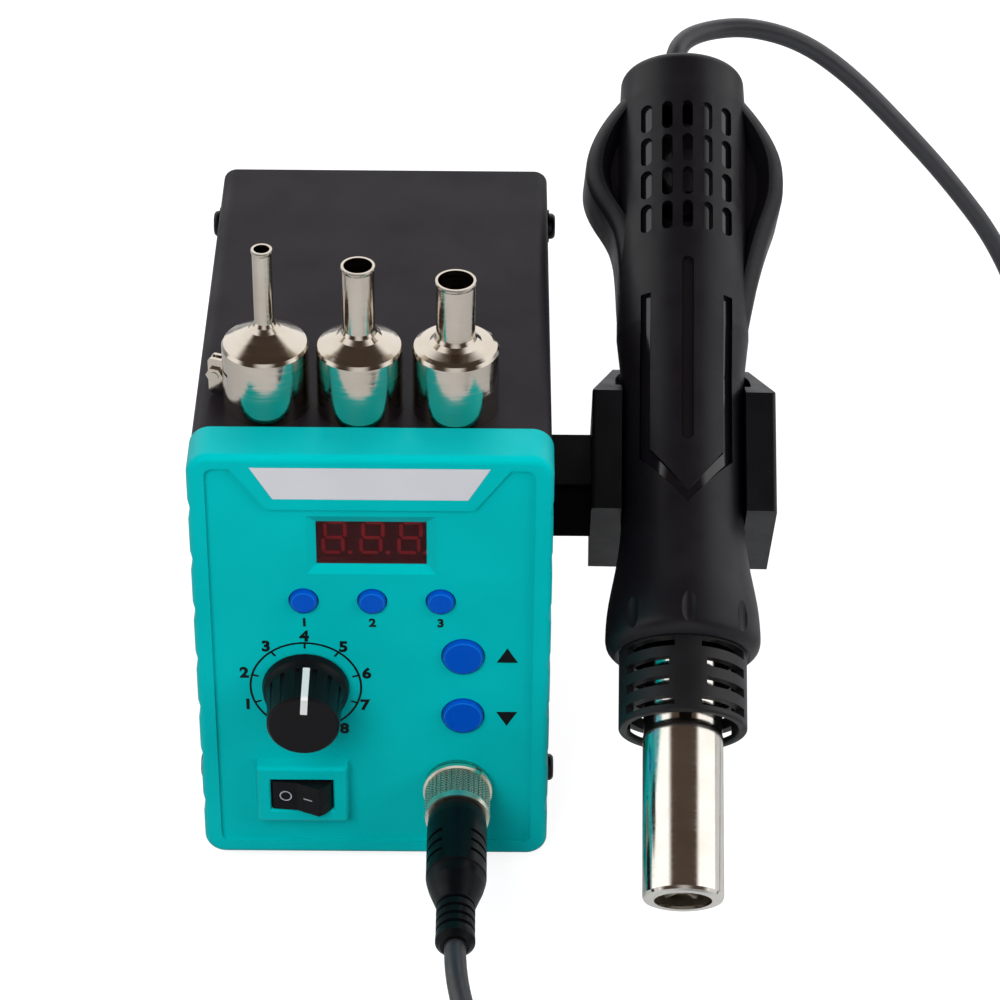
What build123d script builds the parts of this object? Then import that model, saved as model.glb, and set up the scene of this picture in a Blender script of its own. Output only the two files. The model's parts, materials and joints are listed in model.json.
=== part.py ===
from build123d import *
import math
import os

# Hot air rework station: a sheet steel case with a moulded front panel, a handpiece with its
# own blower resting in a side holder, and three loose nozzles standing on the case.
# Millimetres. X to the right, Y to the back, Z up from the table. Every piece is first built
# with the case centred on X = 0 and the rim of the front panel at Y = 0, and then moved so that
# the origin is under the middle of the whole object.
ORIGIN_X = 33.09
ORIGIN_Y = 57.30

# ---- clearances ------------------------------------------------------------------------------
RUNNING_FIT = 0.05        # radial, a shaft in its bushing
SLIDE_GAP = 0.3           # radial, a button or a part that lifts out
FACE_GAP = 0.3            # between flat faces that move past each other
SEAT_GAP = 0.02           # a loose part standing on the cover

# ---- case ------------------------------------------------------------------------------------
SHEET = 1.0
BEZEL_W = 97.0
COVER_STEP = 0.5          # the front panel stands proud of the cover at each side
COVER_W = BEZEL_W - 2 * COVER_STEP
COVER_TOP = 141.0
COVER_BEND = 4.0
CASE_BACK = 150.0
BASE_Z = 5.0
FLANGE_H = 14.0
FLANGE_GAP = 0.2
COVER_SCREW_BACK = 13.0
COVER_SCREW_FRONT = 20.0
COVER_SCREW_LOW = 15.0
COVER_SCREW_HIGH = 125.0
SCREW_HEAD_D = 7.6
SCREW_HEAD_H = 1.8
SCREW_HEAD_ROUND = 1.3
SCREW_D = 4.0
SCREW_L = 7.0
WASHER_D = 9.6
WASHER_T = 0.6
FOOT_D = 13.0
FOOT_TOP_D = 11.0
FOOT_INSET_X = 13.0
FOOT_INSET_Y = 18.0
VENT_SLOT_L = 22.0
VENT_SLOT_W = 2.6
VENT_SLOT_PITCH = 6.0
REAR_VENTS = 7
BASE_VENTS = 6

# ---- front panel -----------------------------------------------------------------------------
BEZEL_H = 138.0
BEZEL_Z = 4.0
BEZEL_DEPTH = 14.0
BEZEL_R = 6.0
BEZEL_EDGE = 2.0
BEZEL_WALL = 2.3
RIM_W = 4.8
RIM_TOP = 4.0
RECESS = 1.2
GRIP_COUNT = 7
GRIP_PITCH = 17.0
GRIP_R = 8.0
GRIP_DEPTH = 0.75
PLATE_TOP_W = 63.6
PLATE_LOW_W = 51.8
PLATE_H = 10.2
PLATE_T = 0.5
PLATE_DROP = 3.4          # from the top of the panel to the plate
BROW_TOP_W = 74.0         # the tapered brow that carries the plate
BROW_LOW_W = 55.0
BROW_H = 13.0
WINDOW_W = 29.6
WINDOW_H = 14.0
WINDOW_Z = 112.6
WINDOW_FLARE = 2.6
WINDOW_T = 2.0
WINDOW_SETBACK = 1.3
DISPLAY_GAP = 0.3         # between the window and the display behind it
SMALL_BUTTON_D = 7.6
SMALL_BUTTON_Z = 94.0
SMALL_BUTTON_PITCH = 18.5
SMALL_BUTTON_OUT = 1.3
LARGE_BUTTON_D = 11.4
LARGE_BUTTON_X = 24.6
LARGE_BUTTON_Z = (75.2, 54.4)
LARGE_BUTTON_OUT = 1.3
BUTTON_FLANGE = 1.1
BUTTON_FLANGE_T = 1.0
BUTTON_TRAVEL = 0.6
STEM_D = 4.0
TACT_W = 6.0
TACT_H = 4.3
BOARD_T = 1.6
BOARD_Y = 17.5            # front face of the control board

# ---- airflow knob ----------------------------------------------------------------------------
KNOB_X = -18.6
KNOB_Z = 64.2
KNOB_TURN = 3.5           # of the pointer, clockwise from the top
KNOB_SKIRT_D = 24.0
KNOB_SKIRT_H = 2.2
KNOB_BODY_D = 20.8
KNOB_FACE_D = 19.8
KNOB_H = 16.6
KNOB_FLUTES = 14
KNOB_FLUTE_D = 1.5
POINTER_W = 1.9
POINTER_DEPTH = 0.4
POINTER_FROM = 4.2
POINTER_SIDE = 0.75       # of the knob's height
KNOB_CAVITY_D = 15.0
KNOB_CAVITY_H = 3.4
SHAFT_D = 6.0
SHAFT_OUT = 12.0
BUSHING_D = 7.0
BUSHING_OUT = 2.2
POT_D = 16.5
POT_H = 8.0
POT_NUT_AF = 10.0
POT_NUT_H = 2.0

# ---- power switch ----------------------------------------------------------------------------
SWITCH_X = -20.3
SWITCH_Z = 28.3
SWITCH_FRAME_W = 26.3
SWITCH_FRAME_H = 20.7
SWITCH_FRAME_OUT = 4.2
SWITCH_FRAME_DRAFT = 6.0
SWITCH_FRAME_ROUND = 1.2
SWITCH_OPEN_W = 16.6
SWITCH_OPEN_EDGE = 0.7
SWITCH_WALL = 1.8
ROCKER_R = 9.46           # over the two raised ends
ROCKER_END_X = 6.72
ROCKER_VALLEY = 5.57
ROCKER_H = 9.9
ROCKER_TILT = 14.8
ROCKER_PIVOT = 4.9        # depth of the pivot behind the face of the frame
SWITCH_BODY_W = 22.0
SWITCH_BODY_H = 13.2
SWITCH_BODY_DEPTH = 15.0
LUG_W = 4.8
LUG_T = 0.8
LUG_L = 7.5

# ---- handpiece socket and plug ---------------------------------------------------------------
SOCKET_X = 23.2
SOCKET_Z = 29.0
SOCKET_D = 16.0
SOCKET_WALL = 1.4
SOCKET_OUT = 9.0
SOCKET_IN = 9.0
SOCKET_FLANGE_D = 18.6
SOCKET_FLANGE_T = 1.2
SOCKET_NUT_AF = 19.0
SOCKET_NUT_T = 2.4
PIN_COUNT = 7
PIN_D = 1.4
PIN_CIRCLE = 7.6
RING_D = 18.2
RING_RIM_D = 19.4
RING_FRONT_D = 17.7
RING_L = 13.0
RING_LIP = 1.4
RING_RIM = 1.8
NOTCH_W = 2.2
NOTCH_DEPTH = 0.7
NOTCH_TURN = 38.0
KNURLS = 36
PLUG_SHELL_D = 12.4
PLUG_COLLAR_D = 15.0
BOOT_D = 16.6
BOOT_L = 51.0
BOOT_NECK_D = 10.6
BOOT_END_D = 10.8
BOOT_TAPER_AT = 25.5
BOOT_NECK_AT = 35.5
BOOT_RIBS = 4
BOOT_RIB_PITCH = 3.2
BOOT_GRIPS = 3
BOOT_GRIP_PITCH = 3.9
BOOT_GRIP_AT = 12.0
BOOT_GRIP_W = 1.1
BOOT_GRIP_DEPTH = 1.1
BOOT_STRIP = 8.0          # smooth strip on top and below, between the grip grooves

# ---- nozzles ---------------------------------------------------------------------------------
HEATER_D = 22.0
NOZZLE_BORE = 22.2
NOZZLE_WALL = 0.5
NOZZLE_GRIP_H = 18.5
NOZZLE_SHOULDER_R = 1.6
NOZZLE_FLARE = 0.27
# name: (x, y, tube bore, height of the cone's top, full height, direction of the clamp ears)
NOZZLES = {
    "narrow": (-28.3, 27.0, 4.2, 26.0, 48.1, 160.0),
    "medium": (-3.3, 25.9, 7.6, 24.7, 44.0, 90.0),
    "wide": (22.2, 25.85, 9.4, 23.1, 39.8, 75.0),
}
EAR_LONG = 4.7
EAR_TALL = 11.0
EAR_T = 0.9
EAR_FOOT = 0.4
SLIT_W = 1.3
SLOT_Z = 11.8
SLOT_H = 0.9
SLOT_ARC = 52.0
CLAMP_SCREW_D = 2.4
CLAMP_HEAD_D = 4.2
CLAMP_HEAD_T = 1.4

# ---- handpiece -------------------------------------------------------------------------------
# Its own frame starts at the middle of the nozzle end: z runs up the axis to the tail, x across
# and y down towards the bottom of the holder.
HOLDER_REACH = 36.0       # from the side of the cover to the handpiece's axis
HP_X = COVER_W / 2 + HOLDER_REACH
HP_Y = -52.8
HP_Z = 35.1
HP_TILT = 31.0            # axis above the horizontal
HP_YAW = 1.0
HP_ROLL = 2.2
HP_TAIL = 252.0
HP_WALL = 2.2
TAIL_R = 18.1
TAIL_ROUND = 3.0
TAIL_TAPER_TO = 240.0
TAIL_TAPER = 0.4
BARREL_R = 18.9
BARREL_TO = 172.0
BARREL_FROM = 94.0
WAIST_R = 17.1            # slimmer part of the grip, which lies in the cradle
WAIST_FROM = 114.0
WAIST_TO = 150.0
WAIST_END = 166.0
BELL_R = 21.45
BELL_AT = 75.5
BELL_LIP_R = 18.6
BELL_LIP_AT = 69.6
FLUTE_COUNT = 8
FLUTE_L = 19.0
FLUTE_W = 4.6
FLUTE_AT = 76.6
FLUTE_DEPTH = 1.0
WING_TOP = 8.0            # height of the fan housing's rim above the axis
WING_LOW = -17.0
WING_ROUND = 5.0
VALLEY_RIM = 4.4
VALLEY_FLOOR = 1.0
VALLEY_SLOPE = 3.0        # how far the valley's floor lies inside its upper edge
WING_WALL = 2.4
# half widths of the fan housing at stations along the axis, left and right
WING_LEFT = ((18.3, 242.0), (24.3, 233.0), (27.9, 223.5), (28.3, 216.0), (25.6, 208.5),
             (21.0, 200.5), (18.9, 190.0), (18.2, 178.0))
WING_RIGHT = ((18.3, 242.5), (24.8, 233.0), (28.6, 223.5), (29.2, 216.5), (28.7, 210.5),
              (26.2, 202.0), (23.2, 191.0), (20.6, 179.0), (18.6, 168.5))
VENT_COLUMNS = 5
VENT_ROWS = 4
VENT_PITCH_X = 5.8
VENT_PITCH_Z = 10.9
VENT_W = 3.0
VENT_L = 9.0
VENT_FIRST = 197.5
VENT_BLIND = 1.5
GROOVE_W = 3.4
GROOVE_FROM = 128.0
GROOVE_TO = 184.0
GROOVE_DEPTH = 1.4
PANEL_HALF_OUT = 13.0
PANEL_HALF_IN = 10.3
PANEL_TOP = 173.5
PANEL_TIP_OUT = 109.1
PANEL_TIP_IN = 112.3
PANEL_CORNER_OUT = 123.7
PANEL_CORNER_IN = 125.9
PANEL_DEPTH = 1.4
SHELL_SCREW_D = 2.6
SHELL_SCREW_HEAD_D = 5.0
SHELL_SCREW_HEAD_T = 1.8
SHELL_BOSS_D = 6.4
SEAT_DEPTH = 5.5          # of a screw head under the grip's surface
BOSS_SKIN = 0.6           # left over a screw boss
SHELL_SCREWS = ((12.2, 118.0), (-12.2, 118.0), (12.2, 166.0), (-12.2, 166.0))

# ---- heater end ------------------------------------------------------------------------------
CAGE_R = 17.6
CAGE_WALL = 2.4
CAGE_FROM = 48.0
CAGE_TO = 80.0
CAGE_ROWS = (51.0, 56.7, 62.3, 67.8)
CAGE_SLOT_H = 2.5
CAGE_WIDE = (12.0, 66.0)
CAGE_NARROW = (17.0, 66.0)
CAGE_LEDGE_T = 2.0
TUBE_WALL = 0.5
TUBE_TO = 112.0
TUBE_STEP_AT = 46.0       # the sleeve part ends just inside the cage
TUBE_REAR_R = 10.8
TUBE_LIP_R = 7.8
TUBE_LIP_T = 0.8
TUBE_ROUND = 1.2
TUBE_FLANGE_R = 14.6
TUBE_FLANGE_T = 1.2
CORE_R = 3.2
CORE_ARM_R = 8.12
CORE_END_R = 10.45
CORE_END_L = 8.0
CORE_ARMS = 6
CORE_ARM_T = 1.0
CORE_FROM = 3.0
CORE_TO = 100.0
COIL_R = 8.6
COIL_WIRE = 0.9
COIL_RINGS = 9
COIL_FROM = 6.0
COIL_PITCH = 9.0

# ---- blower ----------------------------------------------------------------------------------
FAN_AT = 216.0
FAN_R = 22.5
FAN_TOP = -1.8
FAN_LOW = -14.2
FAN_WALL = 1.4
INLET_R = 10.5
IMPELLER_R = 16.5
IMPELLER_EYE = 9.5
IMPELLER_H = 7.0
BLADES = 20
BLADE_T = 0.8
HUB_R = 6.5
MOTOR_R = 7.0
MOTOR_H = 11.0
MOTOR_SHAFT_D = 2.0
MOTOR_GAP = 1.4
REED_AT = 134.0
REED_L = 26.0
REED_W = 8.0

# ---- tail gland and cord ---------------------------------------------------------------------
GLAND_X = -2.0
GLAND_Y = 9.0
GLAND_L = 3.0
GLAND_D = 11.0
GLAND_END_D = 8.6
CORD_D = 5.9
COIL_CENTRE = (112.0, -116.0)
COIL_RADIUS = 35.0
COIL_TURNS = 2.25
COIL_LAY = 6.0

# ---- holder ----------------------------------------------------------------------------------
CRADLE_HALF = 25.8
CRADLE_TOP = 10.0
CRADLE_LOW = -33.0
CRADLE_FROM = 109.5
CRADLE_TO = 145.7
CRADLE_TAB_TO = 162.5
CRADLE_TAB_HALF = 19.6
CRADLE_TAB_TOP = -12.0
ARM_Y = (50.0, 77.0)
ARM_Z = (79.5, 97.3)
ARM_ROUND = 1.5
ARM_SINK = 1.0
MAGNET_D = 9.0
MAGNET_T = 3.0
HOLDER_SCREW_PITCH = 15.0

# ---- inside the case -------------------------------------------------------------------------
STANDOFF_D = 6.0
STANDOFF_H = 8.0
POWER_BOARD = (84.0, 62.0)
POWER_BOARD_Y = 58.0
STANDOFF_INSET = 5.0
BOARD_SCREW_HEAD_D = 5.4
BOARD_SCREW_HEAD_H = 1.8
TRAFO_W = 44.0
TRAFO_D = 36.0
TRAFO_H = 38.0
TRAFO_Y = 108.0
TRAFO_FOOT = 10.0
SINK_W = 40.0
SINK_H = 30.0
SINK_FINS = 7
INLET_W = 27.6
INLET_H = 19.8
INLET_FLANGE_W = 50.0
INLET_FLANGE_H = 24.0
INLET_Z = 40.0
INLET_X = 16.0
INLET_DEPTH = 22.0
INLET_CAVITY = (24.0, 16.6, 17.0)
INLET_SCREW_PITCH = 40.0


# ---- helpers ---------------------------------------------------------------------------------
def save(name, *solids):
    """Write one node, moved from the case's frame to the object's frame."""
    body = solids[0] if len(solids) == 1 else Compound(list(solids))
    export_step(Pos(-ORIGIN_X, -ORIGIN_Y, 0) * body, os.path.join("parts", name + ".step"))


def front_prism(sketch, front, back):
    """Extrude a sketch drawn as seen from the front, between two depths."""
    return Pos(0, back, 0) * extrude(Plane.XZ * sketch, back - front)


def front_disc(x, z, radius, front, back):
    return front_prism(Pos(x, z) * Circle(radius), front, back)


def front_revolve(points, x, z):
    """Revolve (radius, depth) points about an axis that runs front to back."""
    face = make_face(Polyline(*[(r, y) for r, y in points], close=True))
    return Pos(x, 0, z) * revolve(face, Axis.Y)


def face_of(*points):
    return make_face(Polyline(*points, close=True))


def plain_box(x, y, z):
    """A box between two X, two Y and two Z values."""
    size = (x[1] - x[0], y[1] - y[0], z[1] - z[0])
    middle = [(low + high) / 2 for low, high in (x, y, z)]
    return Pos(*middle) * Box(*size)


def handpiece_plane(roll):
    tilt, yaw = math.radians(HP_TILT), math.radians(HP_YAW)
    up_axis = Vector(math.sin(yaw) * math.cos(tilt), math.cos(yaw) * math.cos(tilt), math.sin(tilt))
    across = Vector(math.cos(yaw), -math.sin(yaw), 0)
    across = across.rotate(Axis((0, 0, 0), tuple(up_axis)), roll)
    return Plane(origin=(HP_X, HP_Y, HP_Z), x_dir=tuple(across), z_dir=tuple(up_axis))


HP = handpiece_plane(HP_ROLL)
CRADLE = handpiece_plane(0)


def axial_revolve(points):
    """Revolve (radius, station) points about the handpiece's axis, in its own frame."""
    face = make_face(Polyline(*points, close=True))
    return revolve(Plane.XZ * face, Axis.Z)


def ring(outer, inner, low, high):
    tall = high - low
    return Pos(0, 0, (low + high) / 2) * (Cylinder(outer, tall) - Cylinder(inner, tall + 1))


def from_above(sketch, low, high):
    """Extrude a sketch of the handpiece's upper side between two heights over the axis."""
    up = Plane(origin=(0, -low, 0), x_dir=(1, 0, 0), z_dir=(0, -1, 0))
    return extrude(up * sketch, high - low)


# ---- case ------------------------------------------------------------------------------------
COVER_H = COVER_TOP - BASE_Z
INNER_HALF = COVER_W / 2 - SHEET
COVER_SCREWS = [
    (CASE_BACK - COVER_SCREW_BACK, BASE_Z + COVER_SCREW_HIGH),
    (CASE_BACK - COVER_SCREW_BACK, BASE_Z + COVER_SCREW_LOW),
    (COVER_SCREW_FRONT, BASE_Z + COVER_SCREW_LOW),
]
HOLDER_SCREWS = [
    (sum(ARM_Y) / 2 - HOLDER_SCREW_PITCH / 2, sum(ARM_Z) / 2),
    (sum(ARM_Y) / 2 + HOLDER_SCREW_PITCH / 2, sum(ARM_Z) / 2),
]


def cross_hole(x, y, z, diameter, length):
    return Pos(x, y, z) * Rot(0, 90, 0) * Cylinder(diameter / 2, length)


def make_cover():
    middle = BASE_Z + COVER_H / 2
    outer = Rectangle(COVER_W, COVER_H)
    outer = fillet(outer.vertices().group_by(Axis.Y)[-1], COVER_BEND)
    inner = Pos(0, -SHEET) * Rectangle(COVER_W - 2 * SHEET, COVER_H)
    inner = fillet(inner.vertices().group_by(Axis.Y)[-1], COVER_BEND - SHEET)
    cover = front_prism(Pos(0, middle) * (outer - inner), BEZEL_DEPTH, CASE_BACK)
    for y, z in COVER_SCREWS:
        cover -= cross_hole(0, y, z, SCREW_D + 0.6, COVER_W + 2)
    for y, z in HOLDER_SCREWS:
        cover -= cross_hole(COVER_W / 2, y, z, SCREW_D + 0.6, 3 * SHEET)
    return cover


def slot_column(count, length, width, pitch):
    slots = [Pos(0, (i - (count - 1) / 2) * pitch) * SlotOverall(length, width) for i in range(count)]
    return Sketch() + slots


def make_base_pan():
    half = INNER_HALF - FLANGE_GAP
    front, back = BEZEL_DEPTH, CASE_BACK - SHEET
    pan = plain_box((-half, half), (front, back), (BASE_Z, BASE_Z + SHEET))
    rear_top = COVER_TOP - SHEET - FLANGE_GAP
    rear = Pos(0, (BASE_Z + rear_top) / 2) * Rectangle(2 * half, rear_top - BASE_Z)
    rear = fillet(rear.vertices().group_by(Axis.Y)[-1], COVER_BEND)
    pan += front_prism(rear, back - SHEET, back)
    pan += plain_box((-half, half), (front, front + SHEET), (BASE_Z, BASE_Z + FLANGE_H))
    flange_top = BASE_Z + COVER_SCREW_LOW + FLANGE_H / 2
    for side in (-1, 1):
        edge = sorted((side * (half - SHEET), side * half))
        pan += plain_box(edge, (front, back), (BASE_Z, flange_top))
        rear_flange = (back - COVER_SCREW_BACK - FLANGE_H / 2, back)
        pan += plain_box(edge, rear_flange, (BASE_Z, rear_top - COVER_BEND))
    for y, z in COVER_SCREWS:
        pan -= cross_hole(0, y, z, SCREW_D, COVER_W + 2)
    vents = Pos(-FOOT_INSET_X, BASE_Z + COVER_H * 0.68) * slot_column(
        REAR_VENTS, VENT_SLOT_L, VENT_SLOT_W, VENT_SLOT_PITCH)
    vents += Pos(FOOT_INSET_X, BASE_Z + COVER_H * 0.68) * slot_column(
        REAR_VENTS, VENT_SLOT_L, VENT_SLOT_W, VENT_SLOT_PITCH)
    pan -= front_prism(vents, back - 2 * SHEET, back + SHEET)
    floor_vents = slot_column(BASE_VENTS, VENT_SLOT_L, VENT_SLOT_W, VENT_SLOT_PITCH)
    pan -= Pos(0, FOOT_INSET_Y + 2 * FOOT_D, BASE_Z - SHEET) * extrude(floor_vents, 3 * SHEET)
    inlet = Pos(INLET_X, INLET_Z) * Rectangle(INLET_W, INLET_H)
    inlet += [Pos(INLET_X + s * INLET_SCREW_PITCH / 2, INLET_Z) * Circle(1.7) for s in (-1, 1)]
    pan -= front_prism(inlet, back - 2 * SHEET, back + SHEET)
    return pan


def foot_places():
    half = COVER_W / 2 - FOOT_INSET_X
    front, back = FOOT_INSET_Y + BEZEL_DEPTH / 2, CASE_BACK - FOOT_INSET_Y
    return [(x, y) for x in (-half, half) for y in (front, back)]


def make_foot(x, y):
    return Pos(x, y, BASE_Z / 2) * Cone(FOOT_TOP_D / 2, FOOT_D / 2, BASE_Z)


def pan_screw(side, y, z):
    """A pan head screw with its washer, pointing into the side of the case."""
    out = side * COVER_W / 2
    head = Cylinder(SCREW_HEAD_D / 2, SCREW_HEAD_H)
    head = fillet(head.edges().sort_by(Axis.Z)[-1], SCREW_HEAD_ROUND)
    head = Pos(out + side * (WASHER_T + SCREW_HEAD_H / 2), y, z) * Rot(0, 90 * side, 0) * head
    slot = Pos(out + side * (WASHER_T + SCREW_HEAD_H), y, z) * Rot(0, 90 * side, 0) * (
        Box(3.6, 0.9, 1.6) + Box(0.9, 3.6, 1.6))
    washer = cross_hole(out + side * WASHER_T / 2, y, z, WASHER_D, WASHER_T)
    shank = cross_hole(out - side * (SCREW_L / 2 - WASHER_T / 2), y, z, SCREW_D - 0.1, SCREW_L + WASHER_T)
    return head - slot + washer + shank


# ---- front panel -----------------------------------------------------------------------------
PANEL_MIDDLE = BEZEL_Z + BEZEL_H / 2
PANEL_TOP_Z = BEZEL_Z + BEZEL_H
PANEL_BACK = RECESS + BEZEL_WALL
PLATE_TOP_Z = PANEL_TOP_Z - PLATE_DROP
SWITCH_FACE = RECESS - SWITCH_FRAME_OUT
SWITCH_AXIS_Y = SWITCH_FACE + ROCKER_PIVOT
SWITCH_OPEN_H = ROCKER_H + 2 * SLIDE_GAP


def taper_shape(top_w, low_w, top_z, height):
    return face_of((-top_w / 2, top_z), (top_w / 2, top_z), (low_w / 2, top_z - height),
                   (-low_w / 2, top_z - height))


def button_holes():
    holes = Sketch()
    for i in (-1, 0, 1):
        holes += Pos(i * SMALL_BUTTON_PITCH, SMALL_BUTTON_Z) * Circle(SMALL_BUTTON_D / 2 + SLIDE_GAP)
    for z in LARGE_BUTTON_Z:
        holes += Pos(LARGE_BUTTON_X, z) * Circle(LARGE_BUTTON_D / 2 + SLIDE_GAP)
    return holes


def grip_cuts():
    cuts = []
    first = PANEL_MIDDLE - GRIP_PITCH * (GRIP_COUNT - 1) / 2
    for side in (-1, 1):
        x = side * (BEZEL_W / 2 + GRIP_R - GRIP_DEPTH)
        for i in range(GRIP_COUNT):
            cuts.append(front_disc(x, first + i * GRIP_PITCH, GRIP_R, -1, BEZEL_DEPTH + 1))
    return cuts


def make_bezel():
    outline = Pos(0, PANEL_MIDDLE) * RectangleRounded(BEZEL_W, BEZEL_H, BEZEL_R)
    panel = front_prism(outline, 0, BEZEL_DEPTH)
    panel = fillet(panel.faces().sort_by(Axis.Y)[0].edges(), BEZEL_EDGE)
    hollow = RectangleRounded(BEZEL_W - 2 * BEZEL_WALL, BEZEL_H - 2 * BEZEL_WALL, BEZEL_R - BEZEL_WALL)
    panel -= front_prism(Pos(0, PANEL_MIDDLE) * hollow, PANEL_BACK, BEZEL_DEPTH)
    panel -= grip_cuts()
    field_h = BEZEL_H - RIM_W - RIM_TOP
    field = Pos(0, BEZEL_Z + RIM_W + field_h / 2) * RectangleRounded(BEZEL_W - 2 * RIM_W, field_h, 2.4)
    brow = taper_shape(BROW_TOP_W, BROW_LOW_W, PANEL_TOP_Z - RIM_TOP, BROW_H)
    panel -= front_prism(field - brow, -1, RECESS)
    panel -= front_prism(taper_shape(PLATE_TOP_W, PLATE_LOW_W, PLATE_TOP_Z, PLATE_H), -1, PLATE_T)
    panel += switch_frame()
    panel += front_prism(Pos(0, WINDOW_Z) * Rectangle(WINDOW_W + 8, WINDOW_H + 8), RECESS, PANEL_BACK + 3)
    for side in (-1, 1):
        for z in (BEZEL_Z + 12, PANEL_TOP_Z - 22):
            post = front_disc(side * (BEZEL_W / 2 - 7), z, 3.2, PANEL_BACK - 0.5, BEZEL_DEPTH)
            panel += post - front_disc(side * (BEZEL_W / 2 - 7), z, 1.2, PANEL_BACK + 2, BEZEL_DEPTH + 1)
    panel -= front_prism(button_holes(), -1, PANEL_BACK + 1)
    panel -= front_disc(KNOB_X, KNOB_Z, BUSHING_D / 2 + 0.1, -1, PANEL_BACK + 1)
    panel -= front_disc(SOCKET_X, SOCKET_Z, SOCKET_D / 2 + 0.1, -1, PANEL_BACK + 1)
    panel -= window_cut()
    return panel


def window_cut():
    flare = Plane(origin=(0, RECESS - 0.01, 0), x_dir=(1, 0, 0), z_dir=(0, 1, 0))
    wide = flare * Pos(0, -WINDOW_Z) * Rectangle(WINDOW_W + 2 * WINDOW_FLARE, WINDOW_H + 2 * WINDOW_FLARE)
    inner = Plane(origin=(0, RECESS + WINDOW_SETBACK, 0), x_dir=(1, 0, 0), z_dir=(0, 1, 0))
    tight = inner * Pos(0, -WINDOW_Z) * Rectangle(WINDOW_W, WINDOW_H)
    cut = loft([wide, tight])
    through = front_prism(Pos(0, WINDOW_Z) * Rectangle(WINDOW_W, WINDOW_H), RECESS, PANEL_BACK + 4)
    return cut + through


def switch_frame():
    base = Plane(origin=(0, RECESS + 1, 0), x_dir=(1, 0, 0), z_dir=(0, -1, 0))
    outline = base * Pos(SWITCH_X, SWITCH_Z) * RectangleRounded(SWITCH_FRAME_W, SWITCH_FRAME_H, 1.2)
    frame = extrude(outline, SWITCH_FRAME_OUT + 1, taper=SWITCH_FRAME_DRAFT)
    frame = fillet(frame.faces().sort_by(Axis.Y)[0].edges(), SWITCH_FRAME_ROUND)
    room = Pos(SWITCH_X, SWITCH_Z) * Rectangle(SWITCH_BODY_W + 0.2, SWITCH_BODY_H + 0.2)
    opening = Pos(SWITCH_X, SWITCH_Z) * Rectangle(SWITCH_OPEN_W, SWITCH_OPEN_H)
    frame += front_prism(Pos(SWITCH_X, SWITCH_Z) * Rectangle(SWITCH_BODY_W + 3, SWITCH_BODY_H + 3),
                         RECESS, PANEL_BACK + 4)
    frame -= front_prism(room, SWITCH_FACE + SWITCH_WALL, PANEL_BACK + 5)
    frame -= front_prism(opening, SWITCH_FACE - 1, SWITCH_FACE + SWITCH_WALL + 1)
    frame -= rocker_drum()
    mouth = frame.edges().filter_by_position(Axis.Y, SWITCH_FACE - 0.01, SWITCH_FACE + 0.01)
    inside = [e for e in mouth if abs(e.center().X - SWITCH_X) < SWITCH_OPEN_W / 2 + 0.5
              and abs(e.center().Z - SWITCH_Z) < SWITCH_OPEN_H / 2 + 0.5]
    return chamfer(inside, SWITCH_OPEN_EDGE)


def rocker_drum():
    """The room that the rocker sweeps as it tips."""
    return Pos(SWITCH_X, SWITCH_AXIS_Y, SWITCH_Z) * Cylinder(ROCKER_R + SLIDE_GAP, SWITCH_OPEN_H)


def cut_switch_room(panel):
    room = Pos(SWITCH_X, SWITCH_Z) * Rectangle(SWITCH_BODY_W + 0.2, SWITCH_BODY_H + 0.2)
    return panel - front_prism(room, SWITCH_FACE + SWITCH_WALL, PANEL_BACK + 5)


def make_plate():
    return front_prism(taper_shape(PLATE_TOP_W - 0.1, PLATE_LOW_W - 0.1, PLATE_TOP_Z - 0.05, PLATE_H - 0.1),
                       0.05, PLATE_T)


def make_window():
    front = RECESS + WINDOW_SETBACK
    return front_prism(Pos(0, WINDOW_Z) * Rectangle(WINDOW_W - 0.2, WINDOW_H - 0.2), front, front + WINDOW_T)


def make_display():
    front = RECESS + WINDOW_SETBACK + WINDOW_T + DISPLAY_GAP
    block = front_prism(Pos(0, WINDOW_Z) * Rectangle(WINDOW_W - 1.4, WINDOW_H - 0.6), front, front + 6.4)
    pins = [front_disc(x, WINDOW_Z + side * 5.0, 0.35, front + 6.4, BOARD_Y)
            for x in (-10, -5, 0, 5, 10) for side in (-1, 1)]
    return block + pins


def make_button(x, z, diameter, out):
    front = RECESS - out
    cap = front_disc(x, z, diameter / 2, front, PANEL_BACK + FACE_GAP)
    cap = fillet(cap.faces().sort_by(Axis.Y)[0].edges(), 0.6)
    back = PANEL_BACK + FACE_GAP + BUTTON_FLANGE_T
    cap += front_disc(x, z, diameter / 2 + BUTTON_FLANGE, PANEL_BACK + FACE_GAP, back)
    stem_end = BOARD_Y - TACT_H - BUTTON_TRAVEL - 0.15
    return cap + front_disc(x, z, STEM_D / 2, back, stem_end)


def button_places():
    places = [(i * SMALL_BUTTON_PITCH, SMALL_BUTTON_Z) for i in (-1, 0, 1)]
    return places + [(LARGE_BUTTON_X, z) for z in LARGE_BUTTON_Z]


def make_tact(x, z):
    body = front_prism(Pos(x, z) * Rectangle(TACT_W, TACT_W), BOARD_Y - TACT_H + 0.8, BOARD_Y)
    return body + front_disc(x, z, 1.7, BOARD_Y - TACT_H, BOARD_Y - TACT_H + 0.8)


def make_control_board():
    low, high = KNOB_Z - POT_D, PANEL_TOP_Z - 14
    board = Pos(0, (low + high) / 2) * Rectangle(BEZEL_W - 22, high - low)
    board -= Pos(KNOB_X, KNOB_Z) * Circle(POT_D / 2 + 1.2)
    plate = front_prism(board, BOARD_Y, BOARD_Y + BOARD_T)
    chip = front_prism(Pos(8, 92) * Rectangle(18, 8), BOARD_Y + BOARD_T, BOARD_Y + BOARD_T + 3)
    return plate + chip


# ---- airflow knob ----------------------------------------------------------------------------
KNOB_REAR = RECESS - 0.8
KNOB_FRONT = KNOB_REAR - KNOB_H


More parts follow.
